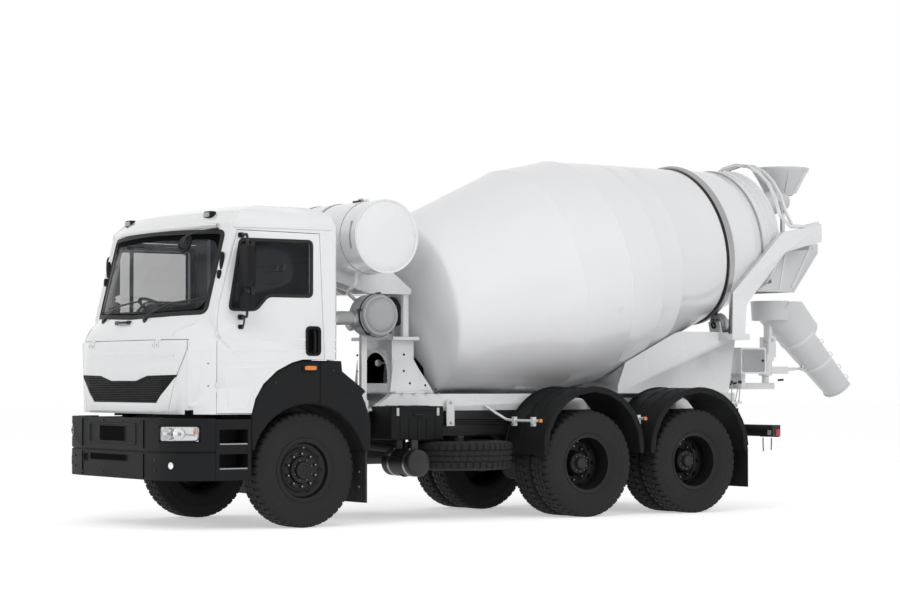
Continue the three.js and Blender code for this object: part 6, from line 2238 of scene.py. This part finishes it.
@dataclass
class RearEnd:
    """Everything at the truck's tail."""

    def build(self) -> None:
        """Makes the rollers, hoppers, chute and their details."""
        for part in (Rollers, ChargeHopper, Chute, RearDetails):
            part().build()


PARTS = (Wheels, MixerDrum, WaterTank, AirCleaner, Cab, Body, RearEnd)


# ---------------------------------------------------------------- dressing and studio


@dataclass
class Dressing:
    """Gives each construction node that stays in view its finish and rounded edges."""

    finishes: dict[str, tuple[Finish, float]] = field(
        default_factory=lambda: {
            "cab_shell": (CAB_WHITE, 0.006),
            "front_panel": (CAB_WHITE, 0.004),
            "door_left": (CAB_WHITE, 0.004),
            "door_right": (CAB_WHITE, 0.004),
            "windscreen": (GLASS, 0.0),
            "door_glass_left": (GLASS, 0.0),
            "door_glass_right": (GLASS, 0.0),
            "dashboard": (GREY_PLASTIC, 0.01),
            "front_bumper": (PLASTIC, 0.012),
            "rear_mudguard_left": (PLASTIC, 0.005),
            "rear_mudguard_right": (PLASTIC, 0.005),
            "chassis_frame": (BLACK, 0.003),
            "fuel_tank": (BLACK, 0.02),
            "battery_box": (PLASTIC, 0.01),
            "engine_block": (CAST, 0.02),
            "front_axle": (CAST, 0.006),
            "knuckle_left": (CAST, 0.004),
            "knuckle_right": (CAST, 0.004),
            "rear_axle_1": (CAST, 0.008),
            "rear_axle_2": (CAST, 0.008),
            "bogie_springs": (CAST, 0.004),
            "subframe": (WHITE, 0.004),
            "front_pedestal": (WHITE, 0.005),
            "tank_stand": (WHITE, 0.003),
            "drum_gearbox": (WHITE, 0.006),
            "rear_pedestal": (WHITE, 0.004),
            # The darker white here is partly painted shade for the hopper's shadowed sides.
            "discharge_hopper": (WORN_AND_SHADED_WHITE, 0.003),
            "chute_post": (WHITE, 0.004),
        }
    )

    def dress(self) -> None:
        """Finishes every node named above."""
        for node, (finish, width) in self.finishes.items():
            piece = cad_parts[node]
            piece.data.materials.clear()
            piece.data.materials.append(finish.material())
            piece.data.polygons.foreach_set("use_smooth", [True] * len(piece.data.polygons))
            weld = piece.modifiers.new("weld", "WELD")
            weld.merge_threshold = 0.00005
            if width:
                soften(piece, width)
            LOG.info("%s: dressed in %s", node, finish.name)


@dataclass
class Studio:
    """A pale floor, soft lamps and the camera."""

    camera_spot: tuple[float, float, float] = (20.401, -11.347, 1.36)
    heading: float = 56.1
    pitch: float = 1.863
    lens: float = 97.4
    floor_reach: float = 90.0
    floor_glow: float = 0.46
    ambient: float = 0.55

    def build(self) -> None:
        """Makes the floor, the lamps, the surroundings and the camera."""
        self._floor()
        self._surroundings()
        self._lamp("key_softbox", (9.0, -9.0, 9.5), (0.0, 0.4, 1.6), 6.0, 500.0)
        self._lamp("side_softbox", (13.0, 4.0, 7.0), (0.0, 3.5, 1.8), 6.0, 420.0)
        self._lamp("front_softbox", (-6.0, -11.0, 5.0), (0.0, -1.0, 1.5), 5.0, 180.0)
        self._camera()

    def _floor(self) -> None:
        """A wide floor that keeps the truck's shadow."""
        r = self.floor_reach
        data = bpy.data.meshes.new("studio_floor")
        data.from_pydata([(-r, -r, 0), (r, -r, 0), (r, r, 0), (-r, r, 0)], [], [(0, 1, 2, 3)])
        floor = bpy.data.objects.new("studio_floor", data)
        bpy.context.scene.collection.objects.link(floor)
        paper = bpy.data.materials.new("studio_paper")
        paper.use_nodes = True
        shader = paper.node_tree.nodes["Principled BSDF"]
        shader.inputs["Base Color"].default_value = (0.92, 0.92, 0.92, 1.0)
        shader.inputs["Roughness"].default_value = 0.9
        shader.inputs["Specular IOR Level"].default_value = 0.1
        self._lift(paper.node_tree, shader)
        data.materials.append(paper)

    def _lift(self, tree: bpy.types.NodeTree, shader: bpy.types.Node) -> None:
        """Makes the floor paler where it is seen, so that it meets the white behind it.

        Args:
            tree: The floor's node tree.
            shader: Its shader.
        """
        seen = seen_directly(tree)
        glow = tree.nodes.new("ShaderNodeMath")
        glow.operation = "MULTIPLY"
        glow.inputs[1].default_value = self.floor_glow
        tree.links.new(seen, glow.inputs[0])
        tree.links.new(glow.outputs["Value"], shader.inputs["Emission Strength"])
        shader.inputs["Emission Color"].default_value = (1.0, 1.0, 1.0, 1.0)

    def _surroundings(self) -> None:
        """White where the camera, gloss and glass see it, and softer where it lights the truck."""
        world = bpy.data.worlds.new("studio_world")
        bpy.context.scene.world = world
        world.use_nodes = True
        nodes, links = world.node_tree.nodes, world.node_tree.links
        seen = seen_directly(world.node_tree)
        strength = nodes.new("ShaderNodeMapRange")
        strength.inputs["To Min"].default_value = self.ambient
        strength.inputs["To Max"].default_value = 1.0
        links.new(seen, strength.inputs["Value"])
        sky = nodes["Background"]
        sky.inputs["Color"].default_value = (1.0, 1.0, 1.0, 1.0)
        links.new(strength.outputs["Result"], sky.inputs["Strength"])

    @staticmethod
    def _lamp(name: str, place: Point, aim: Point, size: float, power: float) -> None:
        """One soft square lamp that gloss doesn't mirror.

        Args:
            name: What it is called.
            place: Where it hangs, counted from the front axle.
            aim: What it points at, counted from the front axle.
            size: The length of its sides.
            power: Its power in watts.
        """
        data = bpy.data.lights.new(name, "AREA")
        data.size = size
        data.energy = power
        lamp = bpy.data.objects.new(name, data)
        bpy.context.scene.collection.objects.link(lamp)
        lamp.visible_glossy = False
        lamp.location = spot(*place)
        lamp.rotation_euler = (spot(*aim) - spot(*place)).to_track_quat("-Z", "Y").to_euler()

    def _camera(self) -> None:
        """The camera, level with the truck's wheels and a long way off."""
        data = bpy.data.cameras.new("studio_camera")
        data.lens = self.lens
        data.sensor_width = 36.0
        data.clip_end = 300.0
        camera = bpy.data.objects.new("studio_camera", data)
        bpy.context.scene.collection.objects.link(camera)
        camera.location = spot(*self.camera_spot)
        camera.rotation_euler = (math.radians(90.0 + self.pitch), 0.0, math.radians(self.heading))
        bpy.context.scene.camera = camera


def seen_directly(tree: bpy.types.NodeTree) -> bpy.types.NodeSocket:
    """1 where the camera, gloss or glass sees a surface, and 0 where it only lights others.

    Args:
        tree: The node tree that needs it.

    Returns:
        The socket that carries it.
    """
    ray = tree.nodes.new("ShaderNodeLightPath")
    seen = ray.outputs["Is Camera Ray"]
    for kind in ("Is Glossy Ray", "Is Transmission Ray"):
        either = tree.nodes.new("ShaderNodeMath")
        either.operation = "MAXIMUM"
        tree.links.new(seen, either.inputs[0])
        tree.links.new(ray.outputs[kind], either.inputs[1])
        seen = either.outputs["Value"]
    return seen


def main() -> None:
    """Builds the truck's looks, piece by piece."""
    logging.basicConfig(level=logging.INFO, format="%(message)s")
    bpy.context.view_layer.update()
    bpy.context.scene.view_settings.view_transform = "Standard"
    Dressing().dress()
    for part in PARTS:
        part().build()
    Studio().build()


if __name__ == "__main__":
    main()
